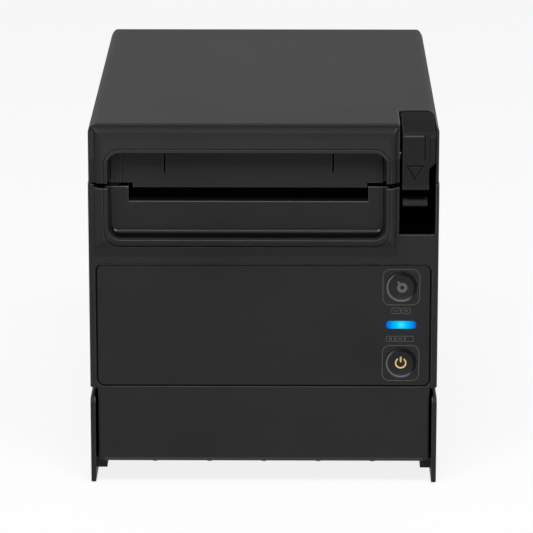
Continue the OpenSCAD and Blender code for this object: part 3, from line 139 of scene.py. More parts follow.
# %% [markdown]
# ## Colour helpers
# Most finishes are one colour that changes a little from place to place. A noise texture keeps near
# 0.5, so its middle part is stretched to the range that is wanted, and the colour is multiplied by it.
# A Color Ramp could do both at once, but its stops are harder to share between finishes.

# %% Helpers for colours and finishes
NOISE_RANGE = (0.3, 0.7)


def spread(tree, noise, low, high):
    """Moves a noise value, which keeps near 0.5, to the range from low to high."""
    return remap(tree, noise, *NOISE_RANGE, low, high)


def tint(tree, colour, shade):
    """A plain colour, or a node's colour, times a grey value that changes over the surface."""
    base = (*colour, 1) if isinstance(colour, tuple) else colour
    return add_node(tree, "Mix", {"data_type": "RGBA", "blend_type": "MULTIPLY"}, i0=1.0, i6=base,
                    i7=shade).outputs[2]


def grey(value):
    return (value, value, value)


def shader_of(finish):
    return finish.node_tree.nodes["Principled BSDF"]


def new_finish(name, gloss):
    """A material with its Principled shader, whose specular level sets how much its face mirrors."""
    finish = bpy.data.materials.new(name)
    finish.use_nodes = True
    shader = shader_of(finish)
    shader.inputs["Specular IOR Level"].default_value = gloss
    return finish, finish.node_tree, shader


def named_copy(finish, name):
    """A copy of a finish, to be changed for one solid."""
    copy = finish.copy()
    copy.name = name
    return copy


# %% [markdown]
# ## Moulded plastic
# The shells come out of a spark-eroded mould, so they have a fine even grain that scatters the light.
# An image texture could carry the grain, but it would need unwrapped UVs on every solid. Noise read in
# object space needs none, and it has the same size on every part. A second, much larger noise clouds
# the colour by a few per cent, as handling and moulding flow do. A Bevel node rounds the look of sharp
# edges, because a real mould never makes a perfectly sharp one, and ambient occlusion looked up inside
# the solid finds those edges, so that they can be a little paler. That paler colour is a painted
# highlight, strongest on the edges that face up to the light; it is part of the colour and stays when
# the light moves.

# %% The plastic finish
EDGE_SAMPLES = 6
HIGHLIGHT_REACH = 0.5 * MM
CLOUD_SCALE = 26.0


def paint_edge_highlights(tree, tone, rounded, edge_highlight):
    """Paints highlights on outer edges as a paler colour, most of all on those that face up."""
    settings = {"samples": EDGE_SAMPLES, "inside": True, "only_local": True}
    within = add_node(tree, "AmbientOcclusion", settings, Distance=HIGHLIGHT_REACH).outputs["AO"]
    corner = arithmetic(tree, "SUBTRACT", 1.0, within)
    upward = add_node(tree, "SeparateXYZ", Vector=rounded).outputs[2]
    lit = remap(tree, upward, -0.1, 0.6, 0.15, 1.0)
    amount = remap(tree, arithmetic(tree, "MULTIPLY", corner, lit), 0.06, 0.4)
    return add_node(tree, "Mix", {"data_type": "RGBA"}, i0=amount, i6=tone,
                    i7=(*grey(edge_highlight), 1)).outputs[2]


def moulded_plastic(name, colour, roughness=0.6, gloss=0.2, grain=0.35 * MM, edge=0.25 * MM, cloud=0.08,
                    edge_highlight=0.0):
    """A grained finish. Grain and edge are sizes; cloud and the painted edge highlight are amounts of grey.
    """
    finish, tree, shader = new_finish(name, gloss)
    place = object_place(tree)
    drift = add_node(tree, "TexNoise", Vector=place, Scale=CLOUD_SCALE, Detail=3.0, Roughness=0.55)
    speck = add_node(tree, "TexNoise", Vector=place, Scale=1 / grain, Detail=2.0, Roughness=0.55)
    drift, speck = drift.outputs[0], speck.outputs[0]
    tone = tint(tree, colour, spread(tree, drift, 1 - cloud, 1 + cloud))
    rounded = add_node(tree, "Bevel", {"samples": EDGE_SAMPLES}, Radius=edge).outputs[0]
    if edge_highlight:
        tone = paint_edge_highlights(tree, tone, rounded, edge_highlight)
    bump = add_node(tree, "Bump", Strength=0.5, Distance=0.01 * MM, Height=speck, Normal=rounded)
    tree.links.new(tone, shader.inputs["Base Color"])
    tree.links.new(spread(tree, speck, roughness - 0.05, roughness + 0.05), shader.inputs["Roughness"])
    tree.links.new(bump.outputs[0], shader.inputs["Normal"])
    return finish


# %% [markdown]
# ## The black plastics
# All of the outside is one dye of black, but it doesn't look one black. The shell is grained and a
# little open, the inlaid panel is finer, and the keys are smoother still from their own mould. The
# inner trays are mixed a much deeper black, as painted shade, since hardly any light reaches them. Each
# is the same recipe with its own numbers.

# %% Mix the black plastics
# The shell, the panel and the lever get painted highlights on their edges, as a paler colour.
case_plastic = moulded_plastic("shell_finish", (0.0215, 0.0215, 0.0217), roughness=0.5, gloss=0.06,
                               edge_highlight=0.12)
panel_plastic = moulded_plastic("panel_finish", (0.0205, 0.0205, 0.0208), roughness=0.55, gloss=0.06,
                                grain=0.25 * MM, edge_highlight=0.18)
key_plastic = moulded_plastic("key_finish", (0.0165, 0.0165, 0.0168), roughness=0.42, gloss=0.1,
                              grain=0.2 * MM)
lever_plastic = moulded_plastic("lever_finish", (0.0195, 0.0195, 0.0197), roughness=0.6, gloss=0.0,
                                edge=0.15 * MM, edge_highlight=0.04)
# Painted shade: the inner plastic is mixed near black for the little light that reaches it.
shaded_inner_plastic = moulded_plastic("inner_shade_finish", (0.004, 0.004, 0.0042), roughness=0.7, gloss=0.03)
plastics = [case_plastic, panel_plastic, key_plastic, lever_plastic, shaded_inner_plastic]
print("plastic finishes:", [finish.name for finish in plastics])

# %% [markdown]
# ## Acetal, rubber and ceramic
# The gears and sliders are natural acetal: creamy, waxy and a little translucent. The feet are soft
# black rubber and the roller is ground rubber, which both scatter light with almost no gloss. The print
# line is fired glaze on ceramic. The plastic recipe suits all of them once its grain and gloss change,
# so there is no need for another tree.

# %% Mix the softer and harder finishes
acetal = moulded_plastic("acetal_finish", (0.5, 0.475, 0.41), roughness=0.42, gloss=0.45, cloud=0.04)
# The roller's bushes and the reduction gear show through a seam, so they are mixed black as painted shade.
shaded_black_acetal = moulded_plastic("shaded_black_acetal_finish", grey(0.006), roughness=0.5, gloss=0.1)
foot_rubber = moulded_plastic("foot_finish", grey(0.012), roughness=0.85, gloss=0.15, grain=0.6 * MM)
roller_rubber = moulded_plastic("roller_finish", (0.012, 0.012, 0.013), roughness=0.8, gloss=0.05,
                                grain=0.15 * MM)
glazed_ceramic = moulded_plastic("ceramic_finish", (0.5, 0.36, 0.24), roughness=0.2, gloss=0.5,
                                 grain=0.5 * MM)
socket_plastic = moulded_plastic("socket_finish", (0.015, 0.015, 0.016), roughness=0.42, gloss=0.4)
print("finishes so far:", len(bpy.data.materials))

# %% [markdown]
# ## Metal
# Sheet steel carries faint lines from the rolling mill, a ground blade has finer ones across its edge,
# and a turned shaft has rings. All three are the same noise, stretched along one direction until it
# becomes streaks. An anisotropic shader would stretch the highlights too, but at this size the streaks
# alone tell the eye what it is. Blackened steel and the black cooling block are nearly matte, so they
# are mixed as dark coats and not as bare metal. They are mixed darker than such a coat, though: they
# show through the slot and the seams, and the extra black is painted shade there.


# %% The metal finish
def streaked_metal(name, colour, roughness=0.32, stretch=(40, 40, 1500), metallic=1.0, gloss=0.5):
    """A finish with streaks; stretch is the number of streaks in a metre along each axis."""
    finish, tree, shader = new_finish(name, gloss)
    shader.inputs["Metallic"].default_value = metallic
    pulled = add_node(tree, "Mapping", Vector=object_place(tree), Scale=stretch).outputs[0]
    lines = add_node(tree, "TexNoise", Vector=pulled, Scale=1.0, Detail=4.0).outputs[0]
    rounded = add_node(tree, "Bevel", {"samples": EDGE_SAMPLES}, Radius=0.12 * MM).outputs[0]
    bump = add_node(tree, "Bump", Strength=0.3, Distance=0.01 * MM, Height=lines, Normal=rounded)
    tree.links.new(tint(tree, colour, spread(tree, lines, 0.88, 1.08)), shader.inputs["Base Color"])
    tree.links.new(spread(tree, lines, roughness - 0.06, roughness + 0.08), shader.inputs["Roughness"])
    tree.links.new(bump.outputs[0], shader.inputs["Normal"])
    return finish


ACROSS_BLADE = (1500, 40, 60)
ROUND_SHAFT = (1800, 30, 30)
zinc_sheet = streaked_metal("zinc_sheet", (0.34, 0.345, 0.35))
ground_steel = streaked_metal("ground_steel", (0.45, 0.455, 0.47), roughness=0.22, stretch=ACROSS_BLADE)
turned_steel = streaked_metal("turned_steel", (0.4, 0.4, 0.41), roughness=0.25, stretch=ROUND_SHAFT)
tinned_shell = streaked_metal("tinned_shell", (0.42, 0.42, 0.415), roughness=0.3, stretch=(60, 60, 400))
motor_can = streaked_metal("motor_can", (0.16, 0.16, 0.165), roughness=0.42)
# The blackened steel and the black block are darker than a black coat, as painted shade inside the slot and
# seams.
shaded_black_steel = streaked_metal("shaded_black_steel_finish", (0.004, 0.004, 0.0042), roughness=0.6, metallic=0.0,
                             gloss=0.02)
shaded_black_extrusion = streaked_metal("shaded_extrusion_finish", (0.008, 0.008, 0.0085), roughness=0.5,
                                 stretch=(20, 900, 900), metallic=0.0, gloss=0.05)
print("metal finishes:", zinc_sheet.name, ground_steel.name, turned_steel.name, tinned_shell.name)

# %% [markdown]
# ## Two colours on one solid
# A socket has a tinned shell, a plastic tongue and a dark mouth, and a circuit board carries black
# chips, but the CAD model holds each as one solid with one material. Cutting the mesh up would spoil the
# model, so the colour changes inside the material instead: a mask that is 1 inside a box and 0 outside
# it swaps the colour, the metal and the roughness there.


# %% Helpers that repaint a region
def repaint_where(finish, mask, colour, metallic=0.0, roughness=0.4):
    """Where the mask is 1 the finish gets this colour, metal and roughness."""
    tree = finish.node_tree
    for name, value, kind, first, second, out in (
            ("Base Color", (*colour, 1), "RGBA", "i6", "i7", 2),
            ("Metallic", metallic, "FLOAT", "i2", "i3", 0),
            ("Roughness", roughness, "FLOAT", "i2", "i3", 0)):
        socket = shader_of(finish).inputs[name]
        before = socket.links[0].from_socket if socket.is_linked else socket.default_value
        swap = add_node(tree, "Mix", {"data_type": kind}, i0=mask, **{first: before, second: value})
        tree.links.new(swap.outputs[out], socket)


def repaint(finish, low, high, colour, metallic=0.0, roughness=0.4):
    """Repaints inside the box from low to high, in metres."""
    tree = finish.node_tree
    axes = add_node(tree, "SeparateXYZ", Vector=object_place(tree)).outputs
    inside = [arithmetic(tree, "COMPARE", axes[i], (low[i] + high[i]) / 2, (high[i] - low[i]) / 2)
              for i in range(3)]
    mask = arithmetic(tree, "MULTIPLY", arithmetic(tree, "MULTIPLY", inside[0], inside[1]), inside[2])
    repaint_where(finish, mask, colour, metallic, roughness)


# %% [markdown]
# ## Circuit boards
# A board is green solder mask over copper, and the copper shows through as slightly paler bands. A
# brick pattern whose mortar is the paler green makes bands that run square to the board's edges, as
# real tracks do. The parts on the main board are repainted by height: everything above the solder mask
# is black, and then the row of plugs and the capacitors get their own colours.


# %% The board finish
def circuit_board(name, turn):
    """A board's finish; turn lays the tracks in the plane of the board."""
    finish, tree, shader = new_finish(name, 0.5)
    place = object_place(tree)
    laid = add_node(tree, "Mapping", Vector=place, Rotation=turn).outputs[0]
    tracks = add_node(tree, "TexBrick", {"offset": 0.37, "squash": 0.6, "squash_frequency": 3}, Vector=laid,
                      Color1=(0.004, 0.05, 0.022, 1), Color2=(0.006, 0.06, 0.026, 1),
                      Mortar=(0.012, 0.11, 0.045, 1), Scale=140.0, Mortar_Size=0.03).outputs[0]
    drift = add_node(tree, "TexNoise", Vector=place, Scale=60.0, Detail=2.0).outputs[0]
    tree.links.new(tint(tree, tracks, spread(tree, drift, 0.85, 1.15)), shader.inputs["Base Color"])
    tree.links.new(spread(tree, drift, 0.28, 0.4), shader.inputs["Roughness"])
    return finish


FAR = 1.0
BLACK = (0.012, 0.012, 0.013)
CREAM = (0.6, 0.57, 0.5)
SLEEVE_BLUE = (0.01, 0.02, 0.06)
BOARD_THICK = 1.6 * MM
PLUG_ROW = (-15 * MM, 25 * MM)
CAPACITOR_X = (-36 * MM, -24 * MM, 30 * MM)
CAPACITOR_HALF = 4.1 * MM

main_board_finish = circuit_board("main_board_finish", (0, 0, 0))
low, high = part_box("main_board")
parts_z = low.z + BOARD_THICK + 0.02 * MM
repaint(main_board_finish, (-FAR, -FAR, parts_z), (FAR, FAR, FAR), BLACK, roughness=0.5)
repaint(main_board_finish, (PLUG_ROW[0], low.y, parts_z), (PLUG_ROW[1], low.y + 6.1 * MM, FAR), CREAM,
        roughness=0.45)
for x in CAPACITOR_X:
    x0, x1 = x - CAPACITOR_HALF, x + CAPACITOR_HALF
    y0, y1 = low.y + 4.8 * MM, low.y + 13.2 * MM
    repaint(main_board_finish, (x0, y0, parts_z), (x1, y1, FAR), SLEEVE_BLUE, roughness=0.3)
    repaint(main_board_finish, (x0, y0, high.z - 0.05 * MM), (x1, y1, FAR), grey(0.6), metallic=1.0,
            roughness=0.3)
panel_board_finish = circuit_board("panel_board_finish", (math.pi / 2, 0, 0))
print("board finishes:", main_board_finish.name, panel_board_finish.name)

# %% [markdown]
# ## Sockets at the back
# Each socket is recoloured from its own box: the square data socket gets a white tongue, the network
# socket a black mouth and the power inlet a bright pin. Their shells are tinned steel or black plastic.
# The boxes are measured from each socket's rear face and underside, so they move with the socket.


# %% Repaint the sockets
def repaint_mouth(finish, node, half_width, depths, heights, colour, metallic=0.0, roughness=0.4):
    """Repaints inside a socket, in mm: depths from its rear face, heights from its underside."""
    low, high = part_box(node)
    middle = (low.x + high.x) / 2
    repaint(finish, (middle - half_width * MM, high.y - depths[1] * MM, low.z + heights[0] * MM),
            (middle + half_width * MM, high.y - depths[0] * MM, low.z + heights[1] * MM), colour, metallic,
            roughness)


TONGUE_WHITE = (0.8, 0.8, 0.78)
TIN = (0.6, 0.6, 0.59)
usb_finish = named_copy(tinned_shell, "usb_socket_finish")
repaint_mouth(usb_finish, "usb_port", 2.85, (0.7, 9), (4.05, 7.15), TONGUE_WHITE)
lan_finish = named_copy(tinned_shell, "lan_socket_finish")
repaint_mouth(lan_finish, "lan_port", 6, (0.15, 13.1), (1.9, 12), BLACK, roughness=0.5)
inlet_finish = named_copy(socket_plastic, "power_inlet_finish")
repaint_mouth(inlet_finish, "dc_inlet", 1.2, (1.4, 10.1), (5.6, 8), TIN, metallic=1.0, roughness=0.25)
print("socket finishes:", usb_finish.name, lan_finish.name, inlet_finish.name)

# %% [markdown]
# ## Print head and paper sensor
# The head is a strip of ceramic with a dark line of heaters that lies right under the roller's axis, and
# its chips are under black resin behind it. The paper sensor is a black block with two glossy eyes.
# Each could be cut into several meshes, but a box mask leaves it the one solid that it is.

# %% Repaint the print head and the sensor
RESIN_START = 12.3 * MM
HEATER_HALF = 0.5 * MM
head_finish = named_copy(glazed_ceramic, "print_head_finish")
low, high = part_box("print_head")
repaint(head_finish, (-FAR, low.y + RESIN_START, low.z + 0.6 * MM), (FAR, FAR, FAR), BLACK, roughness=0.5)
line_y = sum(corner.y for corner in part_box("platen_shaft")) / 2
repaint(head_finish, (-FAR, line_y - HEATER_HALF, low.z), (FAR, line_y + HEATER_HALF, FAR),
        (0.1, 0.06, 0.04), roughness=0.12)

EYE_X = 1.8 * MM
EYE_HALF = 0.95 * MM
sensor_finish = named_copy(socket_plastic, "paper_sensor_finish")
low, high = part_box("paper_sensor")
middle = (low.x + high.x) / 2
for eye_x in (middle - EYE_X, middle + EYE_X):
    repaint(sensor_finish, (eye_x - EYE_HALF, low.y, high.z - 1.3 * MM),
            (eye_x + EYE_HALF, high.y, high.z - 0.1 * MM), (0.05, 0.01, 0.02), roughness=0.08)
print("heater line at y", round(line_y / MM, 1), "mm")

# %% [markdown]
# ## The paper slot
# The mouth of the slot is a deep hole, black to its lip. A light line along the lip is what shows that
# the slot is open. Lamps could make it on a rounded edge, where it would move with the view. Here the
# black and the line are both painted, so they stay where they are when the light moves.

# %% Repaint the slot and its lip
PALE = (0.085, 0.085, 0.084)
SHADE = grey(0.001)
MOUTH_HEIGHT = 4.6 * MM
LIP_DEPTH = 3.7 * MM
SLOT_BACK = -60 * MM

slot_low, slot_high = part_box("cutter_cover")
lever_low, lever_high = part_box("release_lever")
front_y = lever_low.y
lip_z = slot_low.z - MOUTH_HEIGHT
slot_x0, slot_x1 = slot_low.x + 1.9 * MM, slot_high.x - 5 * MM
repaint(panel_plastic, (slot_x0, front_y + LIP_DEPTH, lip_z - 0.6 * MM),
        (slot_x1, SLOT_BACK, lip_z + MOUTH_HEIGHT), SHADE, roughness=0.9)
repaint(panel_plastic, (slot_x0, front_y, lip_z - 0.8 * MM), (slot_x1, front_y + LIP_DEPTH, lip_z - 0.2 * MM),
        PALE, roughness=0.5)
print("slot lip at", round(lip_z / MM, 1), "mm")

# %% [markdown]
# ## The lever's bay and two pale edges
# The lever's ledge and the front's bottom edge are narrow and turned to the light, so each gets a
# painted highlight, a pale line. The floor of the lever's bay and the lever's inside are the other
# extreme, as hardly any light gets in, so they get painted shade, near black. All are painted as
# regions of a finish with the same mask helper, so they don't follow the light.

# %% Repaint the lever, its bay and the front's bottom edge
EDGE_LINE = grey(0.045)
ledge_z = lever_high.z - 3.4 * MM
# Painted shade: the lever is near black behind its front.
repaint(lever_plastic, (-FAR, front_y + 5 * MM, 100 * MM), (FAR, SLOT_BACK, 117 * MM), grey(0.002),
        roughness=0.9)
repaint(lever_plastic, (lever_low.x + 0.5 * MM, front_y - MM, ledge_z - 0.35 * MM),
        (lever_low.x + 7.4 * MM, front_y + 1.2 * MM, ledge_z + 0.4 * MM), PALE)
# A fainter painted highlight along the rest of the ledge.
repaint(lever_plastic, (lever_low.x + 9.9 * MM, front_y - MM, ledge_z - 0.2 * MM),
        (lever_high.x - 0.6 * MM, front_y + 1.2 * MM, ledge_z + 0.3 * MM), grey(0.05))

BOTTOM_EDGE = (8.5 * MM, 10.1 * MM)
BOTTOM_HALF = 58 * MM
repaint(case_plastic, (-BOTTOM_HALF, front_y, BOTTOM_EDGE[0]),
        (BOTTOM_HALF, front_y + 5 * MM, BOTTOM_EDGE[1]), EDGE_LINE)
BAY_FLOOR, BAY_TOP = 85 * MM, 113 * MM
repaint(case_plastic, (lever_low.x - 0.8 * MM, front_y + 3.2 * MM, BAY_FLOOR),
        (lever_high.x + 0.5 * MM, -45 * MM, BAY_TOP), SHADE, roughness=0.9)
# The lock plate is painted lighter at its front, where it shows in the bay, and keeps the painted shade of
# its steel behind that.
lock_finish = named_copy(shaded_black_steel, "lock_plate_finish")
repaint(lock_finish, (-FAR, -FAR, 0), (FAR, front_y + 8 * MM, FAR), grey(0.03), roughness=0.5)
print("lever ledge at", round(ledge_z / MM, 1), "mm")

# %% [markdown]
# ## The leaning brow
# The cover's brow is less flat than it looks: it leans back a little towards its top, so it catches
# light from above. A Bump node can lean a surface without moving it, when its height is a smooth
# function of place instead of a noise. That suits a lean of a few degrees; a step that shows in outline
# has to be geometry.


# %% Lean the brow
def lean(finish, height, reach):
    """Adds a height map, in metres times reach, under the grain of a finish."""
    tree = finish.node_tree
    grain_bump = next(node for node in tree.nodes if node.type == "BUMP")
    below = grain_bump.inputs["Normal"].links[0].from_socket
    bump = add_node(tree, "Bump", Strength=1.0, Distance=reach, Height=height, Normal=below)
    tree.links.new(bump.outputs[0], grain_bump.inputs["Normal"])


BROW = (122 * MM, 132 * MM)
BROW_LEAN = 9.0
COVER_GLOSS = 0.035
cover_plastic = named_copy(case_plastic, "cover_finish")
shader_of(cover_plastic).inputs["Specular IOR Level"].default_value = COVER_GLOSS
tree = cover_plastic.node_tree
height = add_node(tree, "SeparateXYZ", Vector=object_place(tree)).outputs[2]
lean(cover_plastic, remap(tree, height, *BROW, BROW_LEAN, 0.0), MM)
print("brow leans from", round(BROW[0] / MM), "to", round(BROW[1] / MM), "mm")

# %% [markdown]
# ## The keys' rims
# Each key is a shallow dish with a narrow rim. The rim is too fine to catch much light here, so it
# leans outwards, as the brow leans back, and two crescents finish it: a pale one low on the left and a
# dark one high on the right. They are painted light and shade, and don't turn with the lamps. One
# material serves both keys, so each point measures from the middle of the key that it is on: the feed
# key's above the halfway height, and the power key's below it.

# %% Measure round the keys
feed_low, feed_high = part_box("feed_key")
power_low, power_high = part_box("power_key")
key_x = (feed_low.x + feed_high.x) / 2
feed_z = (feed_low.z + feed_high.z) / 2
power_z = (power_low.z + power_high.z) / 2

tree = key_plastic.node_tree
place = object_place(tree)
height = add_node(tree, "SeparateXYZ", Vector=place).outputs[2]
on_feed_key = arithmetic(tree, "GREATER_THAN", height, (feed_z + power_z) / 2)
centre_z = arithmetic(tree, "MULTIPLY_ADD", on_feed_key, feed_z - power_z, power_z)
centre = add_node(tree, "CombineXYZ", X=key_x, Z=centre_z).outputs[0]
across = vector_maths(tree, "MULTIPLY", vector_maths(tree, "SUBTRACT", place, centre), (1, 0, 1))
radius = vector_maths(tree, "LENGTH", across)
bearing = vector_maths(tree, "NORMALIZE", across)
print("key centres in mm:", round(feed_z / MM, 1), round(power_z / MM, 1))

# %% [markdown]
# ## The crescents
# A crescent is a band of the rim times a fade round it. Both fades are smooth steps, because a hard
# mask would look like print. The dot product of two directions says how much they agree, which is all
# that the fade needs.

# %% Paint the rims
FADE = 0.6


def crescent(towards, start, middle, width):
    """A mask that is 1 on the rim's side that faces a bearing, and fades round the rim and across it."""
    facing = vector_maths(tree, "DOT_PRODUCT", bearing, towards)
    side = remap(tree, facing, start, start + FADE, smooth=True)
    away = arithmetic(tree, "ABSOLUTE", arithmetic(tree, "SUBTRACT", radius, middle))
    band = remap(tree, away, width / 2, width / 5, smooth=True)
    return arithmetic(tree, "MULTIPLY", side, band)


LOWER_LEFT = (-0.8, 0, -0.6)
UPPER_RIGHT = (0.85, 0, 0.53)
RIM = (4.1 * MM, 5.6 * MM)
lit_side = crescent(LOWER_LEFT, start=-0.35, middle=5.1 * MM, width=1.0 * MM)
dark_side = crescent(UPPER_RIGHT, start=0.1, middle=5.0 * MM, width=1.5 * MM)
repaint_where(key_plastic, lit_side, (0.095, 0.095, 0.105), roughness=0.45)
repaint_where(key_plastic, dark_side, grey(0.004), roughness=0.8)
lean(key_plastic, remap(tree, radius, *RIM, smooth=True), 0.35 * MM)
print("nodes in the keys' finish:", len(tree.nodes))

# %% [markdown]
# ## Which solid gets which finish
# A table is easier to check than fifty lines of code. Each row names a finish and the solids made of
# it. Whatever the table leaves out gets the inner plastic, whose deep black is painted shade.

# %% Give every solid its finish
finish_table = {
    case_plastic: ["main_case", "bottom_chassis"],
    cover_plastic: ["top_cover"],
    lock_finish: ["lock_plate"],
    panel_plastic: ["front_panel", "exit_panel", "cutter_cover", "exit_frame"],
    key_plastic: ["feed_key", "power_key"],
    lever_plastic: ["release_lever"],
    zinc_sheet: ["platen_bracket"],
    turned_steel: ["gear_axles", "lever_axle", "hinge_pins", "platen_shaft", "case_screws"],
    ground_steel: ["fixed_blade"],
    shaded_black_steel: ["moving_blade", "lock_spring", "head_springs", "mech_frame"],
    shaded_black_extrusion: ["heatsink"],
    motor_can: ["feed_motor", "cutter_motor"],
    acetal: ["idler_gear", "platen_gear", "motor_pinion", "cutter_pinion", "cutter_shaft", "blade_carriage"],
    shaded_black_acetal: ["platen_bushes", "reduction_gear"],
    foot_rubber: ["rubber_feet"],
    roller_rubber: ["platen_roller"],
    head_finish: ["print_head"],
    main_board_finish: ["main_board"],
    panel_board_finish: ["panel_board"],
    usb_finish: ["usb_port"],
    lan_finish: ["lan_port"],
    inlet_finish: ["dc_inlet"],
    sensor_finish: ["paper_sensor"],
    socket_plastic: ["drawer_port"],
}
finish_of = {node: finish for finish, nodes in finish_table.items() for node in nodes}


def dress(node, finish):
    for material_slot in solids[node].material_slots:
        material_slot.material = finish


for node in solids:
    dress(node, finish_of.get(node, shaded_inner_plastic))
print("dressed", len(solids), "solids,", len(finish_of), "of them from the table")

# %% [markdown]
# ## The status lamp
# The lamp is a clear capsule with a light-emitting diode behind its middle, so it is pale in the
# centre and deep blue towards its ends. A lamp object behind glass would need many samples. Emission
# that fades with the distance from the middle gives the same look at once, and a much weaker one in
# the panel's own material stands for the light that leaks into the plastic round it.


# %% The lamp's glow
def glow_from(finish, point, squeeze, unit, stops):
    """Emission by the distance from a point: stops are (distance in units, colour)."""
    tree = finish.node_tree
    offset = vector_maths(tree, "SUBTRACT", object_place(tree), point)
    length = vector_maths(tree, "LENGTH", vector_maths(tree, "MULTIPLY", offset, squeeze))
    ramp = add_node(tree, "ValToRGB", i0=arithmetic(tree, "DIVIDE", length, unit))
    points = ramp.color_ramp.elements
    while len(points) < len(stops):
        points.new(0.5)
    for element, (position, colour) in zip(points, stops):
        element.position = position
        element.color = (*colour, 1)
    shader = shader_of(finish)
    tree.links.new(ramp.outputs[0], shader.inputs["Emission Color"])
    shader.inputs["Emission Strength"].default_value = 1.0


lamp_low, lamp_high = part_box("status_lamp")
lamp_middle = tuple((lamp_low + lamp_high) / 2)
lamp_half = (lamp_high.x - lamp_low.x) / 2
lamp_glow, _, shader = new_finish("lamp_glow", 0.0)
shader.inputs["Base Color"].default_value = (0.0, 0.003, 0.01, 1)
shader.inputs["Roughness"].default_value = 0.2
glow_from(lamp_glow, lamp_middle, (1, 0, 1.2), lamp_half,
          [(0.0, (0.075, 0.76, 0.97)), (0.3, (0.0, 0.62, 0.93)), (0.62, (0.0, 0.36, 0.87)),
           (1.0, (0.0, 0.11, 0.66))])
glow_from(panel_plastic, lamp_middle, (0.55, 0.3, 1), lamp_half,
          [(0.0, (0.0, 0.004, 0.016)), (0.45, (0.0, 0.002, 0.007)), (1.0, (0, 0, 0))])
dress("status_lamp", lamp_glow)
print("lamp is", round(lamp_half * 2 / MM, 1), "mm wide")

# %% [markdown]
# ## Lines of ink
# The panel carries thin pad-printed marks: a rounded frame round each key, two rows of small boxes by
# the lamp, and a symbol on each key. A decal texture would blur at this size and needs an image. Here
# each mark is a real film of ink, a closed mesh a few hundredths of a millimetre thick. A ray shot at
# the solid finds the surface under each corner, so that the film also follows the hollow of a key.

# %% Helpers that make a strip of ink
PROUD = 0.03 * MM
SUNK = 0.02 * MM
IN_FRONT = -200 * MM
SHARPEST = 0.3


def surface_y(node, x, z):
    """How far forward the front of a solid is at x, z."""
    hit, place, _, _ = solids[node].ray_cast(Vector((x, IN_FRONT, z)), Vector((0, 1, 0)))
    if not hit:
        raise ValueError(f"no surface of {node} at {x:.4f}, {z:.4f}")
    return place.y


def side_points(path, closed, half):
    """The two edges of a line of some half width along a path of (x, z) points, mitred at corners."""
    count = len(path)
    left, right = [], []
    for i, here in enumerate(path):
        before = path[i - 1] if closed or i > 0 else here
        after = path[(i + 1) % count] if closed or i < count - 1 else here
        into = Vector(here) - Vector(before)
        out = Vector(after) - Vector(here)
        into = into.normalized() if into.length else out.normalized()
        out = out.normalized() if out.length else into
        normal = Vector((-into.y - out.y, into.x + out.x)).normalized()
        mitre = half / max(SHARPEST, normal.dot(Vector((-into.y, into.x))))
        left.append(Vector(here) + normal * mitre)
        right.append(Vector(here) - normal * mitre)
    return left, right


def ink_line(path, closed, width, node, proud=PROUD):
    """Vertices and faces of a closed strip of ink along the path, lying on a solid's front."""
    count = len(path)
    left, right = side_points(path, closed, width / 2)
    points, faces = [], []
    for edges in zip(left, right):
        for edge in edges:
            level = surface_y(node, edge.x, edge.y)
            points += [(edge.x, level - proud, edge.y), (edge.x, level + SUNK, edge.y)]
    for i in range(count if closed else count - 1):
        a, b = 4 * i, 4 * ((i + 1) % count)
        for first, second in ((0, 2), (2, 3), (3, 1), (1, 0)):
            faces.append((a + first, a + second, b + second, b + first))
    if not closed:
        faces += [(0, 1, 3, 2), (4 * count - 4, 4 * count - 2, 4 * count - 1, 4 * count - 3)]
    return points, faces


# %% [markdown]
# ## Marks made of strips
# A mark is a few strips in one object, which rides on the body that carries the print. Arcs and rounded
# frames are worked out from their sizes, so that a mark can be changed by one number. A Blender curve
# with an extrusion would be as short, but it can't follow a curved surface.

# %% Helpers that lay a mark
CORNER_STEPS = 6


def lay_ink(name, strips, finish, body):
    """Joins strips of ink into one object that rides on a body."""
    points, faces = [], []
    for strip_points, strip_faces in strips:
        start = len(points)
        points += strip_points
        faces += [tuple(start + corner for corner in face) for face in strip_faces]
    mesh = bpy.data.meshes.new(name)
    mesh.from_pydata(points, [], faces)
    outward = bmesh.new()
    outward.from_mesh(mesh)
    bmesh.ops.recalc_face_normals(outward, faces=outward.faces)
    outward.to_mesh(mesh)
    outward.free()
    mesh.materials.append(finish)
    film = add_object(name, mesh)
    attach(film, body)
    print(name, "corners:", len(points))
    return film


def arc(x, z, radius, start, stop, steps):
    """Points along an arc, in degrees, anticlockwise from +X."""
    turns = (math.radians(start + (stop - start) * i / steps) for i in range(steps + 1))
    return [(x + radius * math.cos(turn), z + radius * math.sin(turn)) for turn in turns]


def rounded_frame(x, z, width, height, radius):
    """A rounded rectangle about x, z."""
    right, top = width / 2 - radius, height / 2 - radius
    path = []
    for side, up, start in ((1, 1, 0), (-1, 1, 90), (-1, -1, 180), (1, -1, 270)):
        path += arc(x + side * right, z + up * top, radius, start, start + 90, CORNER_STEPS)
    return path


# %% [markdown]
# ## Inks
# Pad printing leaves a thin matte film with a slightly uneven coat. The greys are the panel's legend
# colours, the cream marks the power key, and the two darkest aren't ink at all on the real thing: they
# are the shade in a pressed line and the light on its edge. Those have no gloss, since a black that
# mirrors the white room isn't black.


# %% Mix the inks
def ink(name, colour, gloss=0.2):
    finish, tree, shader = new_finish(name, gloss)
    coat = add_node(tree, "TexNoise", Vector=object_place(tree), Scale=2500.0, Detail=2.0).outputs[0]
    tree.links.new(tint(tree, colour, spread(tree, coat, 0.88, 1.06)), shader.inputs["Base Color"])
    tree.links.new(spread(tree, coat, 0.5, 0.65), shader.inputs["Roughness"])
    return finish


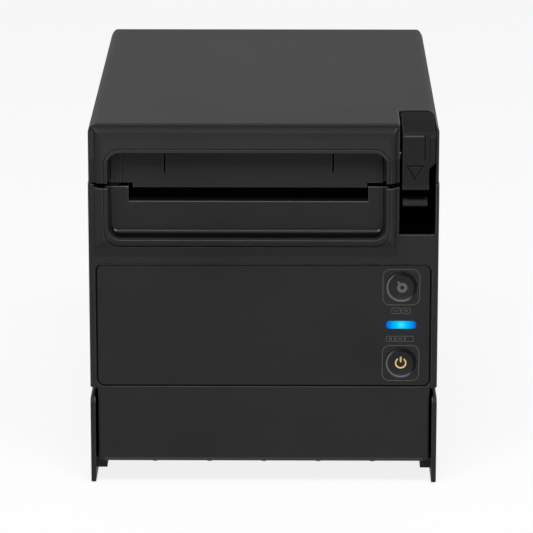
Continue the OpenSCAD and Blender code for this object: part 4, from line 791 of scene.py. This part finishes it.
grey_ink = ink("grey_ink", (0.068, 0.066, 0.062))
faint_ink = ink("faint_ink", (0.08, 0.079, 0.076))
symbol_grey = ink("symbol_grey", (0.10, 0.10, 0.098))
cream_ink = ink("cream_ink", (0.68, 0.5, 0.2))
shade_ink = ink("shade_ink", grey(0.003), gloss=0.0)
edge_ink = ink("edge_ink", grey(0.045), gloss=0.0)
print("inks:", grey_ink.name, cream_ink.name, shade_ink.name)

# %% [markdown]
# ## Key frames and the panel's seam
# A printed frame sits round each of the two keys. The panel is an inlay, and the gap round it is only a
# few tenths of a millimetre wide. A render of this size would blur it away, so its shade is laid as a
# line of the darkest ink.

# %% Print the key frames and shade the seam
FRAME_SIZE = 13.25 * MM
FRAME_LINE = 0.3 * MM
SEAM_LINE = 0.36 * MM
frames = [ink_line(rounded_frame(key_x - 0.05 * MM, z, FRAME_SIZE, FRAME_SIZE, 2.6 * MM), True, FRAME_LINE,
                   "front_panel") for z in (feed_z, power_z)]
lay_ink("key_frames", frames, grey_ink, "case")

panel_low, panel_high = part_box("front_panel")
panel_middle = (panel_low + panel_high) / 2
panel_width, _, panel_height = panel_high - panel_low
seam = rounded_frame(panel_middle.x, panel_middle.z, panel_width - 0.4 * MM, panel_height - 0.4 * MM,
                     2.3 * MM)
lay_ink("panel_seam", [ink_line(seam, True, SEAM_LINE, "front_panel")], shade_ink, "case")

# %% [markdown]
# ## Legends beside the lamp
# The legends are two rows of little rounded boxes with a dash or some bars in them, a plain way to show
# the states of the lamp with no words. One box stays empty. A text object could print letters, but
# strips keep to one helper for every mark, and they stay sharp however small they are.

# %% Print the legends
ROW_GAP = 5.25 * MM
BOX_LINE = 0.2 * MM
upper_z = lamp_middle[2] + ROW_GAP
lower_z = lamp_middle[2] - ROW_GAP
upper_row = [key_x + offset * MM for offset in (-1.85, 1.75)]
lower_row = [key_x + offset * MM for offset in (-3.75, -0.3, 3.0)]
legends = [rounded_frame(x, upper_z, 3.1 * MM, 2.1 * MM, 0.5 * MM) for x in upper_row]
legends += [rounded_frame(x, lower_z, 3.15 * MM, 1.95 * MM, 0.5 * MM) for x in lower_row]
boxes = [ink_line(box, True, BOX_LINE, "front_panel") for box in legends]
lay_ink("legend_boxes", boxes, faint_ink, "case")


def bars(x, z, count, pitch, height, width):
    """Upright bars side by side about x, z."""
    start = x - pitch * (count - 1) / 2
    return [ink_line([(start + i * pitch, z - height / 2), (start + i * pitch, z + height / 2)], False,
                     width, "front_panel") for i in range(count)]


dash = [(upper_row[0] - 0.9 * MM, upper_z), (upper_row[0] + 0.9 * MM, upper_z)]
signs = [ink_line(dash, False, 0.22 * MM, "front_panel")]
signs += bars(upper_row[1], upper_z, 3, 0.5 * MM, 0.9 * MM, 0.2 * MM)
signs += bars(lower_row[0], lower_z, 2, 0.6 * MM, 0.8 * MM, 0.38 * MM)
signs += bars(lower_row[1], lower_z, 3, 0.48 * MM, 0.8 * MM, 0.26 * MM)
lay_ink("legend_signs", signs, faint_ink, "case")

# %% [markdown]
# ## Key symbols
# The feed key shows a roll with the end of its paper, and the power key the usual broken ring with a
# bar. A curve could draw the ring, but it would lie flat over the hollow. Both symbols are lines of ink
# laid in the hollow itself, and they ride on the keys, so they go in with them.

# %% Print the symbols on the keys
roll_x = key_x + 0.3 * MM
roll_z = feed_z - 0.35 * MM
roll = ink_line(arc(roll_x, roll_z, 1.3 * MM, 0, 354, 47), True, 1.05 * MM, "feed_key")
tail = [(roll_x - 0.92 * MM, roll_z + 0.95 * MM), (roll_x - 1.5 * MM, roll_z + 2.3 * MM)]
lay_ink("feed_symbol", [roll, ink_line(tail, False, 0.85 * MM, "feed_key")], symbol_grey, "feed_button")

ring = ink_line(arc(key_x, power_z - 0.1 * MM, 1.82 * MM, 125, 415, 40), False, 0.55 * MM, "power_key")
bar = ink_line([(key_x, power_z + 0.15 * MM), (key_x, power_z + 2.3 * MM)], False, 0.6 * MM, "power_key")
lay_ink("power_symbol", [ring, bar], cream_ink, "power_button")

# %% [markdown]
# ## Marks on the cutter's cover and the lever
# Two upright grooves above the slot show where the paper's edges run, and a triangle pressed into the
# lever shows the way to push. Each is drawn as a fine line of painted shade; the triangle also has a
# painted highlight on its edge just below it, and its dark line lies a hair further out, so that the two
# never fight for the same place.

# %% Darken the guide marks and mark the lever
GUIDE_X = (-35.4 * MM, 24.9 * MM)
GUIDE_Z = (116.6 * MM, 123.4 * MM)
guide_marks = [ink_line([(x, GUIDE_Z[0]), (x, GUIDE_Z[1])], False, 0.5 * MM, "cutter_cover") for x in GUIDE_X]
lay_ink("guide_marks", guide_marks, shade_ink, "cover")

MARK_HALF = 2.85 * MM
MARK_HEIGHT = 4.7 * MM
mark_x = lever_low.x + 4.55 * MM
mark_top = lever_high.z - 14.45 * MM
triangle = [(mark_x - MARK_HALF, mark_top), (mark_x, mark_top - MARK_HEIGHT), (mark_x + MARK_HALF, mark_top)]
lit_edge = [(x + 0.1 * MM, z - 0.32 * MM) for x, z in triangle]
lay_ink("lever_mark_edge", [ink_line(lit_edge, True, 0.18 * MM, "release_lever")], edge_ink, "lever")
pressed = ink_line(triangle, True, 0.36 * MM, "release_lever", proud=0.04 * MM)
lay_ink("lever_mark", [pressed], shade_ink, "lever")

# %% [markdown]
# ## Contacts in the sockets
# The network and drawer sockets hold sprung wires, which show as gold lines in their mouths. A curve
# with a round bevel is the quickest way to make bent wire: its points give the bend and one number the
# thickness. All wires of a socket are splines of one curve.

# %% Bend the contact wires
CONTACT_RADIUS = 0.17 * MM
CONTACT_PITCH = 1.02 * MM
contact_gold = streaked_metal("contact_gold", (0.75, 0.5, 0.16), roughness=0.22, stretch=(60, 400, 60))


def contact_wires(name, node, count, mouth_low, mouth_top, depth):
    """Sprung wires that come in under the roof of a socket's mouth and slope down towards the back."""
    low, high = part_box(node)
    middle, rear = (low.x + high.x) / 2, high.y
    bottom, top = low.z + mouth_low, low.z + mouth_top
    curve = bpy.data.curves.new(name, "CURVE")
    curve.dimensions = "3D"
    curve.bevel_depth = CONTACT_RADIUS
    curve.bevel_resolution = 2
    curve.use_fill_caps = True
    bend = [(rear - depth, bottom), (rear - depth * 0.6, bottom + 0.4 * MM),
            (rear - 2.4 * MM, top - 0.6 * MM), (rear - 1.9 * MM, top - 0.25 * MM),
            (rear - 2.3 * MM, top), (rear - depth, top)]
    for i in range(count):
        x = middle + (i - (count - 1) / 2) * CONTACT_PITCH
        wire = curve.splines.new("POLY")
        wire.points.add(len(bend) - 1)
        for point, (y, z) in zip(wire.points, bend):
            point.co = (x, y, z, 1)
    wires = add_object(name, curve)
    curve.materials.append(contact_gold)
    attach(wires, "case")
    print(name, "wires:", count)


contact_wires("lan_contacts", "lan_port", 8, 3.6 * MM, 8.35 * MM, 12.8 * MM)
contact_wires("drawer_contacts", "drawer_port", 6, 3.2 * MM, 7.9 * MM, 11.8 * MM)

# %% [markdown]
# ## Springs wound as wire
# Three coil springs press the print head up, and one lifts the lock plate. A rigid coil would poke
# through the part that comes down on it. A shape key could shorten it, but it would need a driver. Here
# the coils are wound again as smooth wire and stand in for the solids.

# %% A helper that winds springs
WIRE = 0.35 * MM
TURNS = 5
STEPS_PER_TURN = 24
CLOSED_END = 0.08


def wind_springs(name, seats, bottom, top, radius):
    """Coil springs with closed ends that stand on seats, a list of (x, y)."""
    curve = bpy.data.curves.new(name + "_line", "CURVE")
    curve.dimensions = "3D"
    curve.bevel_depth = WIRE
    curve.bevel_resolution = 3
    curve.use_fill_caps = True
    steps = STEPS_PER_TURN * TURNS
    for x, y in seats:
        coil = curve.splines.new("POLY")
        coil.points.add(steps)
        for i, point in enumerate(coil.points):
            angle = 2 * math.pi * i / STEPS_PER_TURN
            climb = min(1.0, max(0.0, (i / steps - CLOSED_END) / (1 - 2 * CLOSED_END)))
            point.co = (x + radius * math.cos(angle), y + radius * math.sin(angle),
                        bottom + WIRE + (top - bottom - 2 * WIRE) * climb, 1)
    line = add_object(name + "_line", curve)
    bpy.context.view_layer.update()
    mesh = bpy.data.meshes.new_from_object(line.evaluated_get(bpy.context.evaluated_depsgraph_get()))
    bpy.data.objects.remove(line)
    mesh.materials.clear()
    mesh.materials.append(shaded_black_steel)
    mesh.shade_smooth()
    springs = add_object(name, mesh)
    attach(springs, "case")
    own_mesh(springs)
    print(name, "coils:", len(seats), "vertices:", len(mesh.vertices))
    return springs


# %% [markdown]
# ## Seating the springs
# The head's springs stand in a row, at both ends and in the middle of the box that their solids fill.
# The head comes down very little, and the lock plate comes down much further on its one spring. Each
# coil is wound to the full height of its solid's box.

# %% Wind the springs
low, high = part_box("head_springs")
seat_y = (low.y + high.y) / 2
coil_radius = (high.y - low.y) / 2 - WIRE
head_seats = [(low.x + coil_radius + WIRE, seat_y), ((low.x + high.x) / 2, seat_y),
              (high.x - coil_radius - WIRE, seat_y)]
head_coils = wind_springs("head_coils", head_seats, low.z, high.z, coil_radius)
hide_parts("head_springs")

low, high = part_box("lock_spring")
coil_radius = (high.y - low.y) / 2 - WIRE
lock_seat = ((low.x + high.x) / 2, (low.y + high.y) / 2)
lock_coil = wind_springs("lock_coil", [lock_seat], low.z, high.z, coil_radius)
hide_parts("lock_spring")

# %% [markdown]
# ## The floor
# The printer stands on a pale sweep. Paper lit only by soft lamps would come out grey, and more light
# would wash out the black housing, so the floor gives off most of its white by itself to the camera and
# to glossy rays, and still takes the housing's shadow with the rest.


# %% Lay the floor
def any_ray(tree, *kinds):
    """A mask that is 1 for rays of these kinds."""
    rays = add_node(tree, "LightPath").outputs
    mask = rays[kinds[0]]
    for kind in kinds[1:]:
        mask = arithmetic(tree, "MAXIMUM", mask, rays[kind])
    return mask


FLOOR_HALF = 6.0
GLOW_SHARE = 0.85
corners = [(-FLOOR_HALF, -FLOOR_HALF, 0), (FLOOR_HALF, -FLOOR_HALF, 0), (FLOOR_HALF, FLOOR_HALF, 0),
           (-FLOOR_HALF, FLOOR_HALF, 0)]
floor_mesh = bpy.data.meshes.new("studio_floor")
floor_mesh.from_pydata(corners, [], [(0, 1, 2, 3)])
floor = add_object("studio_floor", floor_mesh)
floor_paper, tree, shader = new_finish("floor_paper", 0.2)
shader.inputs["Base Color"].default_value = (*grey(0.9), 1)
shader.inputs["Roughness"].default_value = 0.8
share = arithmetic(tree, "MULTIPLY", any_ray(tree, "Is Camera Ray", "Is Glossy Ray"), GLOW_SHARE)
shining = add_node(tree, "Emission", Color=(1, 1, 1, 1), Strength=1.0).outputs[0]
mixed = add_node(tree, "MixShader", i0=share, i1=shader.outputs[0], i2=shining).outputs[0]
tree.links.new(mixed, tree.nodes["Material Output"].inputs["Surface"])
floor_mesh.materials.append(floor_paper)
print("floor is", 2 * FLOOR_HALF, "m wide")

# %% [markdown]
# ## The world
# Rays from the camera and rays that bounce off gloss see a white world, so metal and the lamp's lens
# have something to mirror. Matte surfaces see it at a quarter of that, which leaves the lamps to give
# the housing its form.

# %% Make the world
FILL = 0.25
world = bpy.data.worlds.new("studio_world")
bpy.context.scene.world = world
world.use_nodes = True
tree = world.node_tree
tree.nodes.clear()
white_rays = any_ray(tree, "Is Camera Ray", "Is Glossy Ray", "Is Transmission Ray")
backdrop = add_node(tree, "Background", Color=(1, 1, 1, 1), Strength=remap(tree, white_rays, 0.0, 1.0, FILL))
add_node(tree, "OutputWorld", Surface=backdrop.outputs[0])
print("world fill:", FILL)

# %% [markdown]
# ## The lamps
# A large soft box hangs high in front, so that the cover's top is brightest, the face is a step darker
# and every ledge that looks up gets a light edge. Two weak ones at the sides only lift the shadows. Area
# lamps do this with few samples; a picture of a studio wrapped round the scene would need a file.


# %% Hang the lamps
def soft_lamp(name, place, aim, size, power):
    """A soft box of some width and height in metres and power in watts."""
    light = bpy.data.lights.new(name, "AREA")
    light.shape = "RECTANGLE"
    light.size, light.size_y = size
    light.energy = power
    lamp = add_object(name, light)
    lamp.location = place
    lamp.rotation_euler = (Vector(aim) - Vector(place)).to_track_quat("-Z", "Y").to_euler()
    return lamp


lamps = [soft_lamp("top_softbox", (0, -0.75, 1.3), (0, 0, 0.1), (1.2, 0.5), 21),
         soft_lamp("left_softbox", (-1.4, -0.9, 0.8), (0, 0, 0.06), (0.6, 0.9), 1),
         soft_lamp("right_softbox", (1.5, -0.8, 0.9), (0, 0, 0.06), (0.6, 0.9), 1)]
bpy.context.scene.view_settings.view_transform = "Standard"
print("lamps:", [lamp.name for lamp in lamps])
